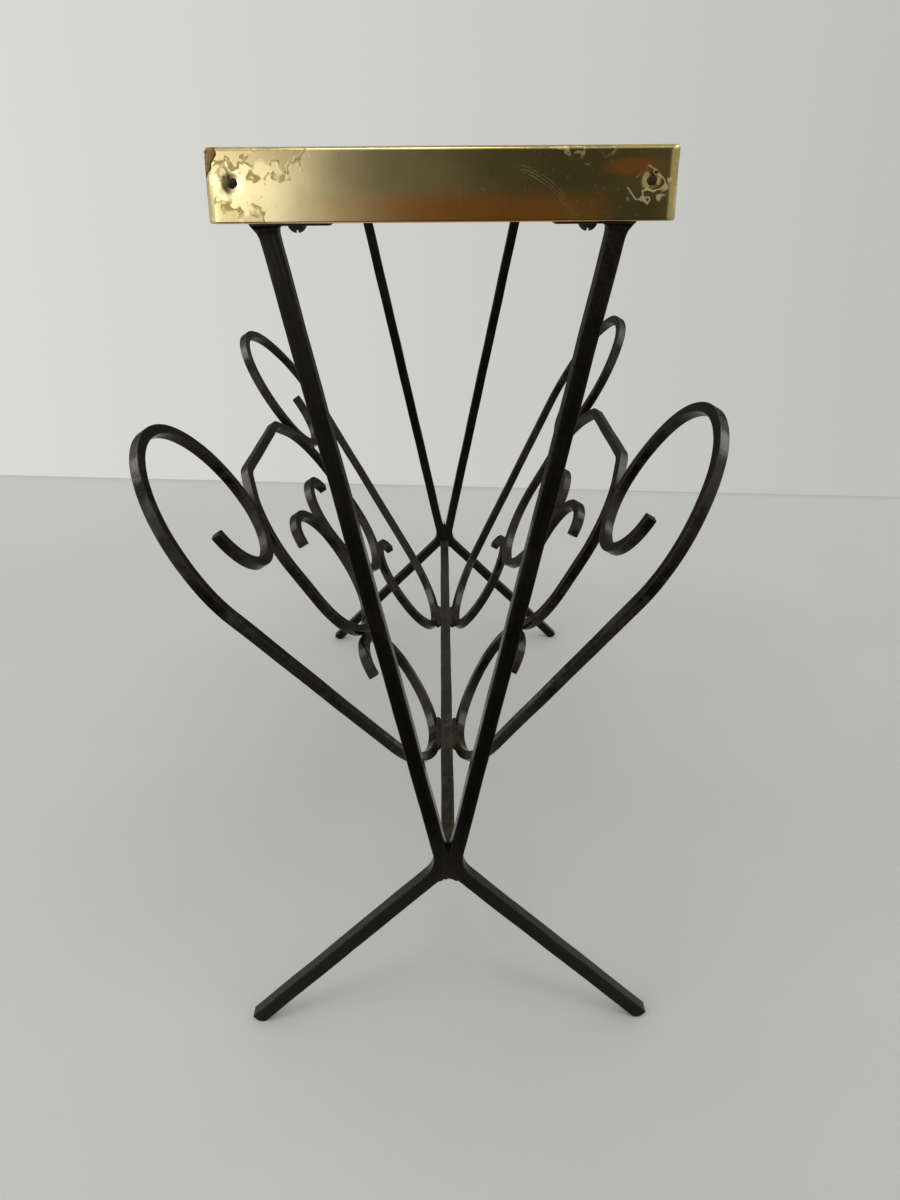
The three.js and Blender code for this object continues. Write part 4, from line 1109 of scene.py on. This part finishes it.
class RACK_OT_scrolls(bpy.types.Operator):
    """Build the six scrolls of the cradle"""
    bl_idname = "rack.scrolls"
    bl_label = "Scrolls"

    def execute(self, context):
        _, _, scrolls, look = settings(context)
        paint = painted_steel("brown_black_enamel_on_scrolled_bar", look, look.scroll_enamel, look.rubbed,
                              wear=0.28, gloss=0.15, mottle=0.32, shine=0.12)
        far = outer_path(scrolls)
        paths = {"central_scroll": central_path(scrolls), "outer_scroll_near": mirrored(far),
                 "outer_scroll_far": far}
        for k, side in enumerate(SIDES):
            origin, across, up, _ = panel_axes(scrolls, side)
            for j, (name, path) in enumerate(paths.items()):
                panel = in_panel(*path, origin, across, up)
                seed = 5 * k + 2 * j + 1
                rings, length, around, rub = swept_bar(*panel, scrolls.bar, scrolls.corner, seed)
                made = shell(rings, along=length, across=around, rub=rub)
                piece(f"{name}_{side}_bar", [made], paint, [f"{name}_{side}"])
        return {"FINISHED"}


class RACK_OT_scroll_welds(bpy.types.Operator):
    """Build the weld beads where the scrolls touch each other and the spine"""
    bl_idname = "rack.scroll_welds"
    bl_label = "Scroll welds"

    def execute(self, context):
        _, _, scrolls, look = settings(context)
        weld = painted_steel("painted_scroll_weld", look, look.weld, look.rubbed,
                             wear=0.5, gloss=0.42, mottle=0.3, shine=0.16)
        for side, way in SIDES.items():
            origin, across, up, out = panel_axes(scrolls, side)
            beads = []
            for k, ((x, y, rise), sizes) in enumerate(self.spots(scrolls)):
                for flip in (-1, 1) if x > 0 else (1,):
                    centre = origin + flip * x * across + y * up + way * rise * out
                    beads.append(bead(centre, (across, up, out), sizes, 1.3 * k + flip))
            piece(f"scroll_welds_{side}", beads, weld)
        return {"FINISHED"}

    @staticmethod
    def spots(s):
        """Touching points in the panel, each midway between the centres of the two bends that touch, and
        four along the groove beside the spine: across, up and out of the panel, with the half sizes of
        the bead there."""
        touching = s.bar + s.gap
        sine, cosine = math.sin(s.shoulder_turn), math.cos(s.shoulder_turn)
        bend = np.array([s.top_run + s.shoulder_radius * sine + s.slope_run * cosine,
                         s.height - s.shoulder_radius * (1 - cosine) - s.slope_run * sine])
        side_centre = bend - s.side_radius * np.array([sine, cosine])
        foot_centre = side_centre + (s.side_radius - s.foot_radius, -s.side_run)
        far = outer_path(s)[0]

        def contact(centre, radius):
            """Nearest point of the outer scroll to a bend of the central one, and half-way between them."""
            gap = np.linalg.norm(far - centre, axis=1) - radius
            nearest = far[np.argmin(np.abs(gap - touching) + 10 * (gap < touching - 0.001))]
            return nearest + (centre - nearest) / np.linalg.norm(centre - nearest) * touching / 2

        lower = (*contact(foot_centre, s.foot_radius), 0)
        upper = (*contact(side_centre, s.side_radius), 0.0004)
        hooks = (0, foot_centre[1] + 0.012, 0)
        spots = [(lower, (0.0042, 0.0042, 0.0029)), (upper, (0.0036, 0.007, 0.0031)),
                 (hooks, (0.0016, 0.008, 0.0031))]
        groove, groove_size = 0.0032, (0.008, 0.0026, 0.0027)
        for run, lift in ((-0.0125, 0.0004), (-0.005, 0), (0.003, 0), (0.0105, 0.0003)):
            spots.append(((s.weld_place + run, lift, groove), groove_size))
        return spots


class RACK_OT_stage(bpy.types.Operator):
    """Build the floor, the light and the camera"""
    bl_idname = "rack.stage"
    bl_label = "Stage"

    def execute(self, context):
        scene, stage = context.scene, context.scene.rack_stage
        self.floor(scene, stage)
        for name, place, size, power in (("key", (-0.5, 1.4, 2.6), 1.6, stage.key_power),
                                         ("fill", (-0.9, -1.7, 1.4), 1.2, stage.fill_power),
                                         ("side", (-1.0, 1.5, 1.0), 1.1, stage.side_power),
                                         ("top", (-1.15, 0.05, 2.4), 0.45, stage.top_power),
                                         ("window", (-1.45, 0.63, 0.5), 0.7, stage.window_power)):
            self.softbox(scene, f"{name}_softbox", place, size, power)
        self.room(scene, stage)
        self.camera(scene, stage)
        scene.view_settings.view_transform = "Standard"
        return {"FINISHED"}

    @staticmethod
    def floor(scene, stage):
        """One flat sheet from just before the rack to the foot of the wall, which is turned a little."""
        front, reach, edge = stage.floor_front, stage.floor_reach, stage.wall_distance
        slant = math.tan(stage.wall_turn)
        corners = [(-front, -reach, 0), (edge - slant * reach, -reach, 0), (edge + slant * reach, reach, 0),
                   (-front, reach, 0)]
        mesh = bpy.data.meshes.new("floor")
        mesh.from_pydata(corners, [], [(0, 1, 2, 3)])
        mesh.materials.append(studio_floor(scene.rack_finish, edge, slant))
        floor = bpy.data.objects.new("floor", mesh)
        scene.collection.objects.link(floor)

    @staticmethod
    def softbox(scene, name, place, size, power):
        """A square softbox that faces the middle of the rack."""
        light = bpy.data.lights.new(name, "AREA")
        light.shape, light.size, light.energy = "SQUARE", size, power
        lamp = bpy.data.objects.new(name, light)
        lamp.location = place
        lamp.visible_camera = False
        target = Vector((0, 0, 0.25))
        lamp.rotation_euler = (target - Vector(place)).to_track_quat("-Z", "Y").to_euler()
        scene.collection.objects.link(lamp)

    @staticmethod
    def camera(scene, stage):
        """A level camera turned by its yaw, tipped down by its pitch and then rolled."""
        camera = bpy.data.objects.new("camera", bpy.data.cameras.new("camera"))
        scene.collection.objects.link(camera)
        camera.data.sensor_fit = "AUTO"
        camera.data.lens = stage.lens
        camera.data.clip_start = 0.01
        pitch, yaw, roll = stage.camera_pitch, stage.camera_yaw, stage.camera_roll
        ahead = Vector((math.cos(pitch) * math.cos(yaw), math.cos(pitch) * math.sin(yaw), -math.sin(pitch)))
        level = Vector((math.sin(yaw), -math.cos(yaw), 0))
        above = level.cross(ahead)
        right = level * math.cos(roll) + above * math.sin(roll)
        up = above * math.cos(roll) - level * math.sin(roll)
        turn = Matrix((right, up, -ahead)).transposed().to_4x4()
        camera.matrix_world = Matrix.Translation(Vector(stage.camera_place)) @ turn
        scene.camera = camera

    @staticmethod
    def room(scene, stage):
        """A pale room: soft light from all round, a plain wall for the camera, and for reflections the same
        wall with a dim corner low behind the near end, a dull one far ahead and a bright panel high on
        either side."""
        world = bpy.data.worlds.new("pale_room")
        scene.world = world
        world.use_nodes = True
        tree = world.node_tree
        tree.nodes.clear()
        node = partial(add, tree)
        x, y, z = node("SeparateXYZ", node("TexCoord")).node.outputs
        path = node("LightPath").node.outputs
        glossy = path["Is Glossy Ray"]
        seen = node("Math", glossy, path["Is Transmission Ray"], operation="MAXIMUM")
        seen = node("Math", path["Is Camera Ray"], seen, operation="MAXIMUM")
        pale = node("Math", y, 0.8, 0.5, operation="MULTIPLY_ADD")
        pale = node("ValToRGB", pale, stops=[(0.2, linear("#c0c1bc")), (0.85, linear("#dcdbd6"))])
        high = node("ValToRGB", z, stops=[(0.25, 0), (0.6, 1)])
        low = node("ValToRGB", z, stops=[(0.3, 1), (0.6, 0)])
        sunk = node("Math", z, -1, operation="MULTIPLY")
        behind = node("ValToRGB", node("Math", x, -1, operation="MULTIPLY"), stops=[(0.4, 0), (0.6, 1)])
        turned = node("Math", y, 0.5, operation="ADD")
        turned = node("ValToRGB", turned, stops=[(0.1, 0), (0.2, 1), (0.605, 1), (0.65, 0)])
        deep = node("ValToRGB", sunk, stops=[(0.32, 0), (0.42, 1)])
        corner = node("Math", turned, deep, operation="MAXIMUM")
        dim = node("Math", behind, low, operation="MULTIPLY")
        for share in (corner, glossy):
            dim = node("Math", dim, share, operation="MULTIPLY")
        dusk = node("ValToRGB", sunk, stops=[(0.14, linear("#4c4a45")), (0.28, linear("#141312"))])
        ahead = node("ValToRGB", x, stops=[(0.72, 0), (0.84, 1)])
        for share in (low, glossy):
            ahead = node("Math", ahead, share, operation="MULTIPLY")
        for share, over in ((high, linear("#f2f2ee")), (dim, dusk), (ahead, linear("#60605b"))):
            pale = node("Mix", share, pale, over, data_type="RGBA")
        either = node("CombineXYZ", x, node("Math", y, operation="ABSOLUTE"), z)
        aim = node("VectorMath", either, (0.343, 0.718, 0.603), operation="DOT_PRODUCT")
        glint = node("MapRange", aim, 0.95, 0.985, 0, stage.glint)
        glint = node("Math", glint, glossy, 1, operation="MULTIPLY_ADD")
        wall = node("Background", node("VectorMath", pale, glint, operation="SCALE"))
        soft = node("Background", (0.98, 0.99, 1), stage.room_light)
        node("OutputWorld", node("MixShader", seen, soft, wall))


class RACK_PT_panel(bpy.types.Panel):
    """Buttons for each group of pieces, and the sizes and colours they use"""
    bl_idname = "RACK_PT_panel"
    bl_label = "Magazine rack"
    bl_space_type = "VIEW_3D"
    bl_region_type = "UI"
    bl_category = "Magazine rack"

    def draw(self, context):
        for operator in STEPS:
            self.layout.operator(operator.bl_idname)
        for name in GROUPS:
            box = self.layout.box()
            group = getattr(context.scene, name)
            for key in group.__annotations__:
                box.prop(group, key)


GROUPS = {"rack_top": RackTopSizes, "rack_legs": RackLegSizes, "rack_scrolls": RackScrollSizes,
          "rack_finish": RackFinishColours, "rack_stage": RackStage}
STEPS = (RACK_OT_board, RACK_OT_band, RACK_OT_tacks, RACK_OT_legs, RACK_OT_junctions, RACK_OT_straps,
         RACK_OT_spine, RACK_OT_scrolls, RACK_OT_scroll_welds, RACK_OT_stage)
CLASSES = (*GROUPS.values(), *STEPS, RACK_PT_panel)


def register():
    for item in CLASSES:
        bpy.utils.register_class(item)
    for name, group in GROUPS.items():
        setattr(bpy.types.Scene, name, PointerProperty(type=group))


def unregister():
    for name in GROUPS:
        delattr(bpy.types.Scene, name)
    for item in reversed(CLASSES):
        bpy.utils.unregister_class(item)


def main():
    register()
    for operator in STEPS:
        family, name = operator.bl_idname.split(".")
        getattr(getattr(bpy.ops, family), name)()


if __name__ == "__main__":
    main()
